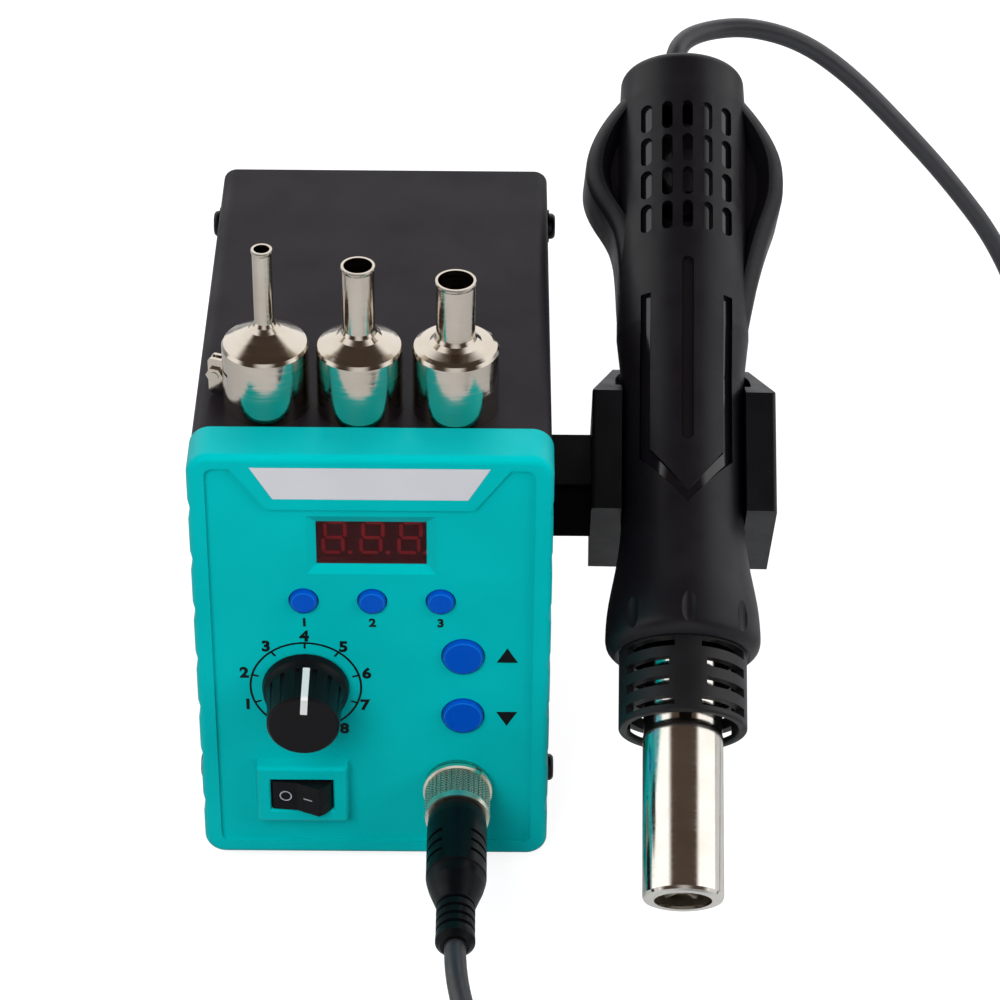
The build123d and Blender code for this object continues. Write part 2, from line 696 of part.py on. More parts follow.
def knob_outline():
    skirt_front = KNOB_REAR - KNOB_SKIRT_H
    waist = skirt_front - 3.2
    flare = ThreePointArc((KNOB_SKIRT_D / 2 - 0.4, skirt_front),
                          (KNOB_BODY_D / 2 + 0.45, skirt_front - 1.2), (KNOB_BODY_D / 2, waist))
    lines = [
        Line((0, KNOB_REAR), (KNOB_SKIRT_D / 2, KNOB_REAR)),
        Line((KNOB_SKIRT_D / 2, KNOB_REAR), (KNOB_SKIRT_D / 2 - 0.4, skirt_front)),
        flare,
        Line((KNOB_BODY_D / 2, waist), (KNOB_FACE_D / 2, KNOB_FRONT + 0.7)),
        Line((KNOB_FACE_D / 2, KNOB_FRONT + 0.7), (KNOB_FACE_D / 2 - 0.7, KNOB_FRONT)),
        Line((KNOB_FACE_D / 2 - 0.7, KNOB_FRONT), (0, KNOB_FRONT)),
        Line((0, KNOB_FRONT), (0, KNOB_REAR)),
    ]
    return make_face(Curve() + lines)


def pointer_solid():
    face = plain_box((-POINTER_W / 2, POINTER_W / 2), (KNOB_FRONT - 1, KNOB_FRONT + POINTER_DEPTH),
                     (POINTER_FROM, KNOB_FACE_D / 2 + 2))
    side = plain_box((-POINTER_W / 2, POINTER_W / 2), (KNOB_FRONT - 1, KNOB_FRONT + KNOB_H * POINTER_SIDE),
                     (KNOB_FACE_D / 2 - POINTER_DEPTH, KNOB_BODY_D / 2 + 2))
    return face + side


def make_knob():
    solid = revolve(knob_outline(), Axis.Y)
    groove_from = KNOB_FRONT - 1
    groove_to = KNOB_REAR - KNOB_SKIRT_H - 2.0
    for i in range(KNOB_FLUTES):
        turn = math.radians((i + 0.5) * 360 / KNOB_FLUTES)
        place = KNOB_BODY_D / 2 + 0.15
        solid -= front_disc(place * math.sin(turn), place * math.cos(turn), KNOB_FLUTE_D / 2,
                            groove_from, groove_to)
    solid -= front_disc(0, 0, KNOB_CAVITY_D / 2, KNOB_REAR - KNOB_CAVITY_H, KNOB_REAR + 1)
    solid -= front_disc(0, 0, SHAFT_D / 2 + RUNNING_FIT, KNOB_REAR - SHAFT_OUT - 0.5, KNOB_REAR + 1)
    knob = solid - pointer_solid()
    pointer = solid & pointer_solid()
    move = Pos(KNOB_X, 0, KNOB_Z) * Rot(0, KNOB_TURN, 0)
    return move * knob, move * pointer


def make_pot():
    back = PANEL_BACK + POT_H
    body = front_disc(KNOB_X, KNOB_Z, POT_D / 2, PANEL_BACK, back)
    body += front_disc(KNOB_X, KNOB_Z, BUSHING_D / 2, RECESS - BUSHING_OUT, PANEL_BACK + 1)
    legs = [plain_box((KNOB_X + i * 5 - 0.6, KNOB_X + i * 5 + 0.6), (back - 3, back - 2.4),
                      (KNOB_Z - POT_D / 2 - 5, KNOB_Z - POT_D / 2 + 3)) for i in (-1, 0, 1)]
    body += legs
    bore = front_disc(KNOB_X, KNOB_Z, SHAFT_D / 2 + RUNNING_FIT, RECESS - BUSHING_OUT - 1, back - 2)
    return body - bore


def make_pot_shaft():
    return front_disc(KNOB_X, KNOB_Z, SHAFT_D / 2, KNOB_REAR - SHAFT_OUT, PANEL_BACK + POT_H - 2.3)


def make_pot_nut():
    hexagon = Pos(KNOB_X, KNOB_Z) * RegularPolygon(POT_NUT_AF / 2, 6, major_radius=False)
    hexagon -= Pos(KNOB_X, KNOB_Z) * Circle(BUSHING_D / 2)
    return front_prism(hexagon, RECESS - POT_NUT_H, RECESS)


# ---- power switch ----------------------------------------------------------------------------
def rocker_outline():
    """Plan of the rocker about its pivot, both flats alike; y points to the back."""
    valley = (0, -ROCKER_VALLEY)
    peak_r = (ROCKER_END_X, -math.sqrt(ROCKER_R ** 2 - ROCKER_END_X ** 2))
    low_r = (ROCKER_R * math.cos(math.radians(14)), ROCKER_R * math.sin(math.radians(14)))
    mid_r = (ROCKER_R * math.cos(math.radians(-20)), ROCKER_R * math.sin(math.radians(-20)))

    def left(point):
        return (-point[0], point[1])
    lines = [
        Line(valley, peak_r), ThreePointArc(peak_r, mid_r, low_r), Line(low_r, (0, 3.2)),
        Line((0, 3.2), left(low_r)), ThreePointArc(left(low_r), left(mid_r), left(peak_r)),
        Line(left(peak_r), valley),
    ]
    return make_face(Curve() + lines)


def make_rocker():
    body = extrude(rocker_outline(), ROCKER_H / 2, both=True)
    body += Cylinder(1.2, ROCKER_H + 1.0)
    return Pos(SWITCH_X, SWITCH_AXIS_Y, SWITCH_Z) * Rot(0, 0, -ROCKER_TILT) * body


def make_switch_housing():
    front = SWITCH_FACE + SWITCH_WALL
    outline = Pos(SWITCH_X, SWITCH_Z) * Rectangle(SWITCH_BODY_W, SWITCH_BODY_H)
    body = front_prism(outline, front, front + SWITCH_BODY_DEPTH)
    mouth = front_prism(Pos(SWITCH_X, SWITCH_Z) * Rectangle(2 * (ROCKER_R + SLIDE_GAP), SWITCH_OPEN_H),
                        front - 1, SWITCH_AXIS_Y)
    pivots = Pos(SWITCH_X, SWITCH_AXIS_Y, SWITCH_Z) * Cylinder(1.2 + RUNNING_FIT, ROCKER_H + 1.4)
    body = body - rocker_drum() - mouth - pivots
    rear = front + SWITCH_BODY_DEPTH
    lugs = [plain_box((SWITCH_X + side * 5.5 - LUG_T / 2, SWITCH_X + side * 5.5 + LUG_T / 2),
                      (rear - 1, rear + LUG_L), (SWITCH_Z - LUG_W / 2, SWITCH_Z + LUG_W / 2))
            for side in (-1, 1)]
    return body + lugs


# ---- handpiece socket and plug ---------------------------------------------------------------
RING_BACK = RECESS - SOCKET_FLANGE_T - FACE_GAP
RING_FRONT = RING_BACK - RING_L
BOOT_BACK = RING_FRONT - FACE_GAP
BOOT_FRONT = BOOT_BACK - BOOT_L
COLLAR_FRONT = RING_FRONT + RING_LIP + FACE_GAP


def make_socket():
    outer, inner = SOCKET_D / 2, SOCKET_D / 2 - SOCKET_WALL
    body = front_disc(SOCKET_X, SOCKET_Z, outer, RECESS - SOCKET_OUT, RECESS + SOCKET_IN)
    body -= front_disc(SOCKET_X, SOCKET_Z, inner, RECESS - SOCKET_OUT - 1, RECESS + 2)
    body += front_disc(SOCKET_X, SOCKET_Z, SOCKET_FLANGE_D / 2, RECESS - SOCKET_FLANGE_T, RECESS) - (
        front_disc(SOCKET_X, SOCKET_Z, inner, RECESS - SOCKET_FLANGE_T - 1, RECESS + 1))
    for x, z in pin_places():
        body += front_disc(x, z, PIN_D / 2, RECESS - SOCKET_OUT + 4.5, RECESS + SOCKET_IN + 3)
    return body


def pin_places():
    places = [(SOCKET_X, SOCKET_Z)]
    for i in range(PIN_COUNT - 1):
        turn = math.radians(i * 360 / (PIN_COUNT - 1))
        places.append((SOCKET_X + PIN_CIRCLE / 2 * math.cos(turn),
                       SOCKET_Z + PIN_CIRCLE / 2 * math.sin(turn)))
    return places


def make_socket_nut():
    hexagon = Pos(SOCKET_X, SOCKET_Z) * RegularPolygon(SOCKET_NUT_AF / 2, 6, major_radius=False)
    hexagon -= Pos(SOCKET_X, SOCKET_Z) * Circle(SOCKET_D / 2)
    return front_prism(hexagon, PANEL_BACK, PANEL_BACK + SOCKET_NUT_T)


def make_coupling_ring():
    bore = SOCKET_D / 2 + SLIDE_GAP
    points = [
        (bore, RING_BACK), (RING_RIM_D / 2 - 0.4, RING_BACK), (RING_RIM_D / 2, RING_BACK - 0.4),
        (RING_RIM_D / 2, RING_BACK - RING_RIM + 0.3), (RING_D / 2, RING_BACK - RING_RIM),
        (RING_D / 2, RING_FRONT + RING_RIM), (RING_FRONT_D / 2 + 0.3, RING_FRONT + RING_RIM - 0.4),
        (RING_FRONT_D / 2, RING_FRONT), (PLUG_SHELL_D / 2 + SLIDE_GAP, RING_FRONT),
        (PLUG_SHELL_D / 2 + SLIDE_GAP, RING_FRONT + RING_LIP), (bore, RING_FRONT + RING_LIP),
    ]
    body = front_revolve(points, 0, 0)
    cutter = front_prism(Pos(0, RING_D / 2 + 0.45) * Rot(0, 0, 45) * Rectangle(1.1, 1.1),
                         RING_FRONT + RING_RIM, RING_BACK - RING_RIM)
    for i in range(KNURLS):
        body -= Rot(0, i * 360 / KNURLS, 0) * cutter
    notch = Pos(0, RING_BACK, RING_RIM_D / 2) * Box(NOTCH_W, 2 * RING_RIM, 2 * NOTCH_DEPTH)
    body -= Rot(0, NOTCH_TURN, 0) * notch
    return Pos(SOCKET_X, 0, SOCKET_Z) * body


def make_plug_shell():
    inner = PLUG_SHELL_D / 2 - 1.0
    points = [
        (inner, RECESS - 1.5), (PLUG_SHELL_D / 2, RECESS - 1.5), (PLUG_SHELL_D / 2, COLLAR_FRONT + 1.6),
        (PLUG_COLLAR_D / 2, COLLAR_FRONT + 1.6), (PLUG_COLLAR_D / 2, COLLAR_FRONT),
        (PLUG_SHELL_D / 2, COLLAR_FRONT), (PLUG_SHELL_D / 2, BOOT_BACK - 6), (inner, BOOT_BACK - 6),
    ]
    body = front_revolve(points, SOCKET_X, SOCKET_Z)
    return body + front_disc(SOCKET_X, SOCKET_Z, inner, RECESS - SOCKET_OUT - 1.5, RECESS - SOCKET_OUT + 3.5)


def boot_outline():
    """(radius, depth) points of the boot's outside, from the ring to the cord."""
    taper = BOOT_BACK - BOOT_TAPER_AT
    neck = BOOT_BACK - BOOT_NECK_AT
    points = [(BOOT_D / 2 - 0.3, BOOT_BACK), (BOOT_D / 2, BOOT_BACK - 4), (BOOT_D / 2, taper + 1.2),
              (BOOT_D / 2 - 0.4, taper + 0.8), (BOOT_D / 2 - 0.1, taper + 0.3),
              (BOOT_D / 2 - 0.7, taper - 2.6), (BOOT_NECK_D / 2 + 0.3, neck + 1.0), (BOOT_NECK_D / 2, neck)]
    for i in range(BOOT_RIBS):
        at = neck - i * BOOT_RIB_PITCH
        points += [(BOOT_NECK_D / 2, at - 0.3), (BOOT_NECK_D / 2 - 0.9, at - 0.6),
                   (BOOT_NECK_D / 2 - 0.9, at - 1.2), (BOOT_NECK_D / 2, at - 1.5)]
    last = neck - BOOT_RIBS * BOOT_RIB_PITCH
    end_r = BOOT_END_D / 2
    points += [(end_r, last), (end_r, BOOT_FRONT + 1.6), (end_r - 1.4, BOOT_FRONT)]
    return points


def make_boot():
    points = boot_outline() + [(0, BOOT_FRONT), (0, BOOT_BACK)]
    body = front_revolve(points, 0, 0)
    body -= front_disc(0, 0, PLUG_SHELL_D / 2, BOOT_BACK - 6, BOOT_BACK + 1)
    radius = BOOT_D / 2
    arc = 90 - math.degrees(math.asin(BOOT_STRIP / BOOT_D))
    band = extrude(arc_band(radius - BOOT_GRIP_DEPTH, radius + 1, arc), BOOT_GRIP_W / 2, both=True)
    for i in range(BOOT_GRIPS):
        at = BOOT_BACK - BOOT_GRIP_AT - i * BOOT_GRIP_PITCH
        for turn in (0, 180):
            body -= Pos(0, at, 0) * Rot(0, turn, 0) * Rot(90, 0, 0) * band
    return Pos(SOCKET_X, 0, SOCKET_Z) * body


# ---- nozzles ---------------------------------------------------------------------------------
def nozzle_profile(bore, cone_top, height, inset):
    """Radius and height points of one skin of a nozzle; inset 0 gives the outside."""
    body_r = NOZZLE_BORE / 2 + NOZZLE_WALL - inset
    tube_r = bore / 2 + NOZZLE_WALL - inset
    shoulder = NOZZLE_GRIP_H
    return [
        (body_r, 0), (body_r, shoulder), (body_r - 0.5, shoulder + 1.0 - inset / 2),
        (body_r - NOZZLE_SHOULDER_R, shoulder + 1.7 - inset / 2),
        (tube_r + 1.7, cone_top - 2.2 - inset), (tube_r + 0.5, cone_top - 1.0 - inset),
        (tube_r, cone_top), (tube_r, height - 1.3),
        (tube_r + NOZZLE_FLARE * 0.8, height - 0.9), (tube_r + NOZZLE_FLARE, height - 0.45),
        (tube_r + NOZZLE_FLARE * 0.6, height),
    ]


def make_nozzle(place):
    x, y, bore, cone_top, height, facing = place
    outer = nozzle_profile(bore, cone_top, height, 0)
    inner = nozzle_profile(bore, cone_top, height, NOZZLE_WALL)[:8]
    inner = inner[:7] + [(bore / 2, height)]
    body = axial_revolve(outer + list(reversed(inner)))
    radius = NOZZLE_BORE / 2 + NOZZLE_WALL
    ears = Pos(radius - 0.4 + EAR_LONG / 2, 0, EAR_FOOT + EAR_TALL / 2) * (
        Box(EAR_LONG + 0.8, SLIT_W + 2 * EAR_T, EAR_TALL))
    ears = fillet(ears.edges().filter_by(Axis.Y).group_by(Axis.X)[-1], 1.2)
    body += ears
    ear = Pos(radius + EAR_LONG / 2 - 1, 0, EAR_TALL / 2 + EAR_FOOT)
    body -= ear * Box(EAR_LONG + 4, SLIT_W, EAR_TALL + 2)
    body -= Pos(radius, 0, SLOT_Z / 2) * Box(4, SLIT_W, SLOT_Z + SLOT_H)
    slot = Pos(0, 0, SLOT_Z) * extrude(arc_band(radius - 2, radius + 2, SLOT_ARC), SLOT_H)
    body -= slot
    screw_at = Pos(radius + EAR_LONG * 0.55, 0, EAR_FOOT + EAR_TALL * 0.55)
    body -= screw_at * Rot(90, 0, 0) * Cylinder(CLAMP_SCREW_D / 2 + 0.1, 10)
    screw = clamp_screw()
    move = Pos(x, y, COVER_TOP + SEAT_GAP) * Rot(0, 0, facing)
    return move * body, move * (screw_at * screw)


def arc_band(inner, outer, half_angle):
    """A flat band of a ring, symmetric about +X."""
    points = []
    for radius, way in ((outer, 1), (inner, -1)):
        ends = [math.radians(way * a) for a in (-half_angle, 0, half_angle)]
        points.append([(radius * math.cos(a), radius * math.sin(a)) for a in ends])
    outer_arc, inner_arc = ThreePointArc(*points[0]), ThreePointArc(*points[1])
    return make_face(Curve() + [outer_arc, Line(points[0][2], points[1][0]), inner_arc,
                                Line(points[1][2], points[0][0])])


def clamp_screw():
    half = SLIT_W / 2 + EAR_T
    shank = Cylinder(CLAMP_SCREW_D / 2, 2 * half + 2.0)
    head = Pos(0, 0, half + CLAMP_HEAD_T / 2) * Cylinder(CLAMP_HEAD_D / 2, CLAMP_HEAD_T)
    head -= Pos(0, 0, half + CLAMP_HEAD_T) * Box(CLAMP_HEAD_D + 1, 0.6, 1.0)
    nut = Pos(0, 0, -half - 0.8) * extrude(RegularPolygon(2.2, 6, major_radius=False), 0.8)
    return Rot(90, 0, 0) * (shank + head + nut)


# ---- handpiece shells ------------------------------------------------------------------------
def barrel_outside():
    """The turned part of the handpiece: tail cap, barrel and flared front."""
    tail_low = HP_TAIL - TAIL_ROUND
    bell = Spline((WAIST_R, WAIST_FROM), (BARREL_R, BARREL_FROM), (BELL_R - 0.8, BELL_AT + 9),
                  (BELL_R, BELL_AT), (BELL_R - 0.6, BELL_AT - 3.8), (BELL_LIP_R, BELL_LIP_AT),
                  tangents=((0, -1), (-0.9, -0.5)))
    lines = [
        Line((0, HP_TAIL), (TAIL_R - TAIL_ROUND, HP_TAIL)),
        RadiusArc((TAIL_R - TAIL_ROUND, HP_TAIL), (TAIL_R, tail_low), TAIL_ROUND),
        Line((TAIL_R, tail_low), (TAIL_R + TAIL_TAPER, TAIL_TAPER_TO)),
        Line((TAIL_R + TAIL_TAPER, TAIL_TAPER_TO), (BARREL_R, BARREL_TO)),
        Line((BARREL_R, BARREL_TO), (BARREL_R, WAIST_END)),
        Line((BARREL_R, WAIST_END), (WAIST_R, WAIST_TO)),
        Line((WAIST_R, WAIST_TO), (WAIST_R, WAIST_FROM)),
        bell,
        Line((BELL_LIP_R, BELL_LIP_AT), (0, BELL_LIP_AT)),
        Line((0, BELL_LIP_AT), (0, HP_TAIL)),
    ]
    return revolve(Plane.XZ * make_face(Curve() + lines), Axis.Z)


def barrel_core(inset):
    """The turned part from the flare to the tail, smaller by an inset all round."""
    wide, slim = BARREL_R - inset, WAIST_R - inset
    return axial_revolve([(0, BARREL_FROM), (wide, BARREL_FROM), (slim, WAIST_FROM), (slim, WAIST_TO),
                          (wide, WAIST_END), (wide, HP_TAIL), (0, HP_TAIL)])


def wing_outline(inset=0.0):
    """Plan of the fan housing, or of a smaller one that lies evenly inside it."""
    left = [(inset - w, s) for w, s in WING_LEFT]
    right = [(w - inset, s) for w, s in WING_RIGHT]
    return make_face(Curve() + [Spline(*left), Spline(*right), Line(left[0], right[0]),
                                Line(left[-1], right[-1])])


def wing_solid():
    solid = from_above(wing_outline(), WING_LOW, WING_TOP)
    side_edges = solid.faces().sort_by(Axis.Y)
    edges = [e for face in (side_edges[0], side_edges[-1]) for e in face.edges()
             if e.length > 40]
    return fillet(edges, WING_ROUND)


def valley_solid():
    """The hollow between the barrel and the raised rim of the fan housing."""
    levels = ((VALLEY_FLOOR, VALLEY_RIM + VALLEY_SLOPE), (WING_TOP + 0.5, VALLEY_RIM))
    faces = [Plane(origin=(0, -at, 0), x_dir=(1, 0, 0), z_dir=(0, -1, 0)) * wing_outline(inset)
             for at, inset in levels]
    return loft(faces) - Pos(0, 0, HP_TAIL / 2) * Cylinder(BARREL_R - 0.2, HP_TAIL + 20)


def front_features():
    """Everything cut into the upper side of the handpiece, as one list of solids."""
    cuts = []
    middle = (GROOVE_FROM + GROOVE_TO) / 2
    groove = Pos(0, middle) * Rot(0, 0, 90) * SlotOverall(GROOVE_TO - GROOVE_FROM, GROOVE_W)
    cuts.append(from_above(groove, 5, 30) - barrel_core(GROOVE_DEPTH))
    outline = face_of((-PANEL_HALF_OUT, PANEL_TOP), (-PANEL_HALF_OUT, PANEL_CORNER_OUT), (0, PANEL_TIP_OUT),
                      (PANEL_HALF_OUT, PANEL_CORNER_OUT), (PANEL_HALF_OUT, PANEL_TOP))
    outline -= face_of((-PANEL_HALF_IN, PANEL_TOP + 9), (-PANEL_HALF_IN, PANEL_CORNER_IN), (0, PANEL_TIP_IN),
                       (PANEL_HALF_IN, PANEL_CORNER_IN), (PANEL_HALF_IN, PANEL_TOP + 9))
    cuts.append(from_above(outline, 5, 30) - barrel_core(PANEL_DEPTH))
    blind = barrel_core(VENT_BLIND)
    for column in range(VENT_COLUMNS):
        x = (column - (VENT_COLUMNS - 1) / 2) * VENT_PITCH_X
        slots = Sketch()
        for row in range(VENT_ROWS):
            slots += Pos(x, VENT_FIRST + row * VENT_PITCH_Z) * Rot(0, 0, 90) * SlotOverall(VENT_L, VENT_W)
        prism = from_above(slots, 5, 30)
        cuts.append(prism if column in (1, 2) else prism - blind)
    return cuts


def flute(turn):
    """A pointed hollow on the flared front, one of a ring of them."""
    half, sag = FLUTE_L / 2, FLUTE_W / 2 + 0.6
    arc = ThreePointArc((0, -half), (sag, 0), (0, half))
    spindle = revolve(Plane.XZ * make_face(Curve() + [arc, Line((0, half), (0, -half))]), Axis.Z)
    out = BELL_R - FLUTE_DEPTH + sag
    return Rot(0, 0, turn) * Pos(0, -out, FLUTE_AT) * spindle


def shell_cavity():
    inner, waist = BARREL_R - HP_WALL, WAIST_R - HP_WALL
    tail, top = TAIL_R - HP_WALL, HP_TAIL - TAIL_ROUND
    cavity = axial_revolve([(0, CAGE_TO), (inner, CAGE_TO), (inner, BARREL_FROM), (waist, WAIST_FROM),
                            (waist, WAIST_TO), (inner, WAIST_END), (inner, BARREL_TO),
                            (tail, TAIL_TAPER_TO), (tail, top), (0, top)])
    wing = wing_outline(WING_WALL)
    cavity += from_above(wing, WING_LOW + WING_WALL, VALLEY_FLOOR - HP_WALL)
    cavity += axial_revolve([(0, BELL_LIP_AT - 1), (CAGE_R + 0.1, BELL_LIP_AT - 1), (CAGE_R + 0.1, CAGE_TO),
                             (0, CAGE_TO)])
    return cavity


def make_shells():
    body = barrel_outside() + wing_solid()
    body -= valley_solid()
    for i in range(FLUTE_COUNT):
        body -= flute(i * 360 / FLUTE_COUNT)
    body -= shell_cavity()
    for cut in front_features():
        body -= cut
    body -= Pos(GLAND_X, GLAND_Y, HP_TAIL) * Cylinder(GLAND_D / 2 - 2, 20)
    big = 2 * HP_TAIL
    upper = Pos(0, -big / 2, HP_TAIL / 2) * Box(big, big, big)
    front, rear = body & upper, body - upper
    for x, z in SHELL_SCREWS:
        front += screw_boss(x, z, -1) & barrel_outside()
        rear += screw_boss(x, z, 1) & barrel_outside()
        rear -= Pos(x, 0, z) * Rot(90, 0, 0) * Cylinder(SHELL_SCREW_D / 2 + 0.2, 60)
        front -= Pos(x, 0, z) * Rot(90, 0, 0) * Cylinder(SHELL_SCREW_D / 2, 18)
        rear -= Pos(x, screw_seat(x, z) + 10, z) * Rot(90, 0, 0) * Cylinder(SHELL_SCREW_HEAD_D / 2 + 0.2, 20)
    return HP * front, HP * rear


def screw_boss(x, z, side):
    skin = BOSS_SKIN + (PANEL_DEPTH if side < 0 else 0)
    depth = math.sqrt((BARREL_R - skin) ** 2 - x ** 2)
    middle = side * depth / 2
    return Pos(x, middle, z) * Rot(90, 0, 0) * Cylinder(SHELL_BOSS_D / 2, depth)


def screw_seat(x, z):
    """Depth of the screw head's seat under the axis."""
    radius = WAIST_R if z < WAIST_TO else BARREL_R
    return math.sqrt(radius ** 2 - x ** 2) - SEAT_DEPTH


def make_shell_screw(x, z):
    seat = screw_seat(x, z)
    head = Pos(x, seat + SHELL_SCREW_HEAD_T / 2, z) * Rot(90, 0, 0) * (
        Cylinder(SHELL_SCREW_HEAD_D / 2, SHELL_SCREW_HEAD_T))
    head -= Pos(x, seat + SHELL_SCREW_HEAD_T, z) * (Box(2.6, 1.2, 0.6) + Box(0.6, 1.2, 2.6))
    shank = Pos(x, (seat - 8) / 2, z) * Rot(90, 0, 0) * Cylinder(SHELL_SCREW_D / 2 - 0.05, seat + 8)
    return HP * (head + shank)


# ---- heater end ------------------------------------------------------------------------------
def make_cage():
    body = ring(CAGE_R, CAGE_R - CAGE_WALL, CAGE_FROM, CAGE_TO)
    body = fillet(body.edges().filter_by(GeomType.CIRCLE).group_by(Axis.Z)[0], 0.7)
    ledge_top = CAGE_TO - 2.0
    body += ring(CAGE_R - 0.5, TUBE_REAR_R + 0.1, ledge_top - CAGE_LEDGE_T, ledge_top)
    for row, at in enumerate(CAGE_ROWS):
        start, end = CAGE_WIDE if row in (0, len(CAGE_ROWS) - 1) else CAGE_NARROW
        half = (end - start) / 2
        band = extrude(arc_band(CAGE_R - CAGE_WALL - 1, CAGE_R + 1, half), CAGE_SLOT_H / 2, both=True)
        for quarter in range(4):
            body -= Pos(0, 0, at) * Rot(0, 0, quarter_turn(quarter, (start + end) / 2)) * band
    return HP * body


def quarter_turn(quarter, middle):
    """Middles of the four slots of a row, mirrored about the bar on the upper side."""
    return (-90 + middle, -90 - middle, 90 + middle, 90 - middle)[quarter]


def make_heater_tube():
    radius = HEATER_D / 2
    inner = radius - TUBE_WALL
    lip = [(TUBE_LIP_R, 0), (radius - TUBE_ROUND, 0), (radius - 0.35, 0.35), (radius, TUBE_ROUND)]
    flange = CAGE_TO - 2.0
    points = lip + [
        (radius, TUBE_STEP_AT), (TUBE_REAR_R, TUBE_STEP_AT), (TUBE_REAR_R, flange),
        (TUBE_FLANGE_R, flange), (TUBE_FLANGE_R, flange + TUBE_FLANGE_T),
        (TUBE_REAR_R, flange + TUBE_FLANGE_T), (TUBE_REAR_R, TUBE_TO), (inner, TUBE_TO),
        (inner, TUBE_LIP_T + 0.6),
        (inner - 0.6, TUBE_LIP_T), (TUBE_LIP_R, TUBE_LIP_T)]
    return HP * axial_revolve(points)


def star(arm_r):
    arms = [Rot(0, 0, i * 360 / CORE_ARMS) * Pos(arm_r / 2, 0) * Rectangle(arm_r, CORE_ARM_T)
            for i in range(CORE_ARMS)]
    return Circle(CORE_R) + arms


def make_heater_core():
    """Ceramic former: a star of arms that carries the wire, with longer arms at its rear end."""
    long = Pos(0, 0, CORE_FROM) * extrude(star(CORE_ARM_R), CORE_TO - CORE_FROM)
    long += Pos(0, 0, CORE_TO - CORE_END_L) * extrude(star(CORE_END_R), CORE_END_L)
    return HP * long


def make_heater_coil():
    rings = []
    for i in range(COIL_RINGS):
        rings.append(Pos(0, 0, COIL_FROM + i * COIL_PITCH) * Torus(COIL_R, COIL_WIRE / 2))
    return [HP * r for r in rings]


# ---- blower ----------------------------------------------------------------------------------
def fan_local(shape):
    """Turn a shape built about +Z so that its axis stands up from the handpiece's axis."""
    return Pos(0, 0, FAN_AT) * Rot(90, 0, 0) * shape


def make_blower_housing():
    tall = FAN_TOP - FAN_LOW
    body = Cylinder(FAN_R, tall) - Cylinder(FAN_R - FAN_WALL, tall - 2 * FAN_WALL)
    outlet = Pos(-6, -FAN_R, 0) * Box(14, 16, tall)
    outlet -= Pos(-6, -FAN_R, 0) * Box(11.2, 18, tall - 2 * FAN_WALL)
    body -= Pos(-6, -FAN_R + 2, 0) * Box(11.2, 10, tall - 2 * FAN_WALL)
    body += outlet - Cylinder(FAN_R - FAN_WALL, tall - 2 * FAN_WALL)
    body -= Pos(0, 0, tall / 2) * Cylinder(INLET_R, 4)
    body -= Pos(0, 0, -tall / 2) * Cylinder(MOTOR_SHAFT_D / 2 + 1.2, 4)
    return HP * fan_local(Pos(0, 0, (FAN_TOP + FAN_LOW) / 2) * body)


def impeller_low():
    return FAN_LOW + FAN_WALL + 1.0


def make_impeller():
    low = impeller_low()
    body = Pos(0, 0, low + 0.5) * Cylinder(IMPELLER_R, 1.0)
    body += Pos(0, 0, low + IMPELLER_H / 2) * Cylinder(HUB_R, IMPELLER_H)
    long = IMPELLER_R - IMPELLER_EYE
    for i in range(BLADES):
        blade = Pos(IMPELLER_EYE + long / 2 - 0.1, 0, low + IMPELLER_H / 2) * Box(long, BLADE_T, IMPELLER_H)
        body += Rot(0, 0, i * 360 / BLADES) * blade
    shaft_top = FAN_TOP + MOTOR_GAP + MOTOR_H - 2
    shaft_low = FAN_LOW + 0.2
    body += Pos(0, 0, (shaft_top + shaft_low) / 2) * Cylinder(MOTOR_SHAFT_D / 2, shaft_top - shaft_low)
    return HP * fan_local(body)


def make_motor():
    """Motor over the fan's eye on three struts; the wheel's shaft runs in its bushing."""
    low = FAN_TOP + MOTOR_GAP
    body = Pos(0, 0, low + MOTOR_H / 2) * Cylinder(MOTOR_R, MOTOR_H)
    for i in range(3):
        strut = Pos(MOTOR_R + 2.6, 0, low + 0.0) * Box(8.0, 2.4, 2.8)
        body += Rot(0, 0, 90 + i * 120) * strut
    bush = MOTOR_H - 2 + SLIDE_GAP
    body -= Pos(0, 0, low + bush / 2 - 1) * Cylinder(MOTOR_SHAFT_D / 2 + RUNNING_FIT, bush + 2)
    return HP * fan_local(body)


def make_reed_board():
    inner = WAIST_R - HP_WALL
    seat = math.sqrt(inner ** 2 - (REED_W / 2) ** 2)
    board = Pos(0, seat - 0.8, REED_AT) * Box(REED_W, 1.2, REED_L)
    glass = Pos(0, seat - 2.4, REED_AT) * Cylinder(1.1, 14)
    return HP * (board + glass)


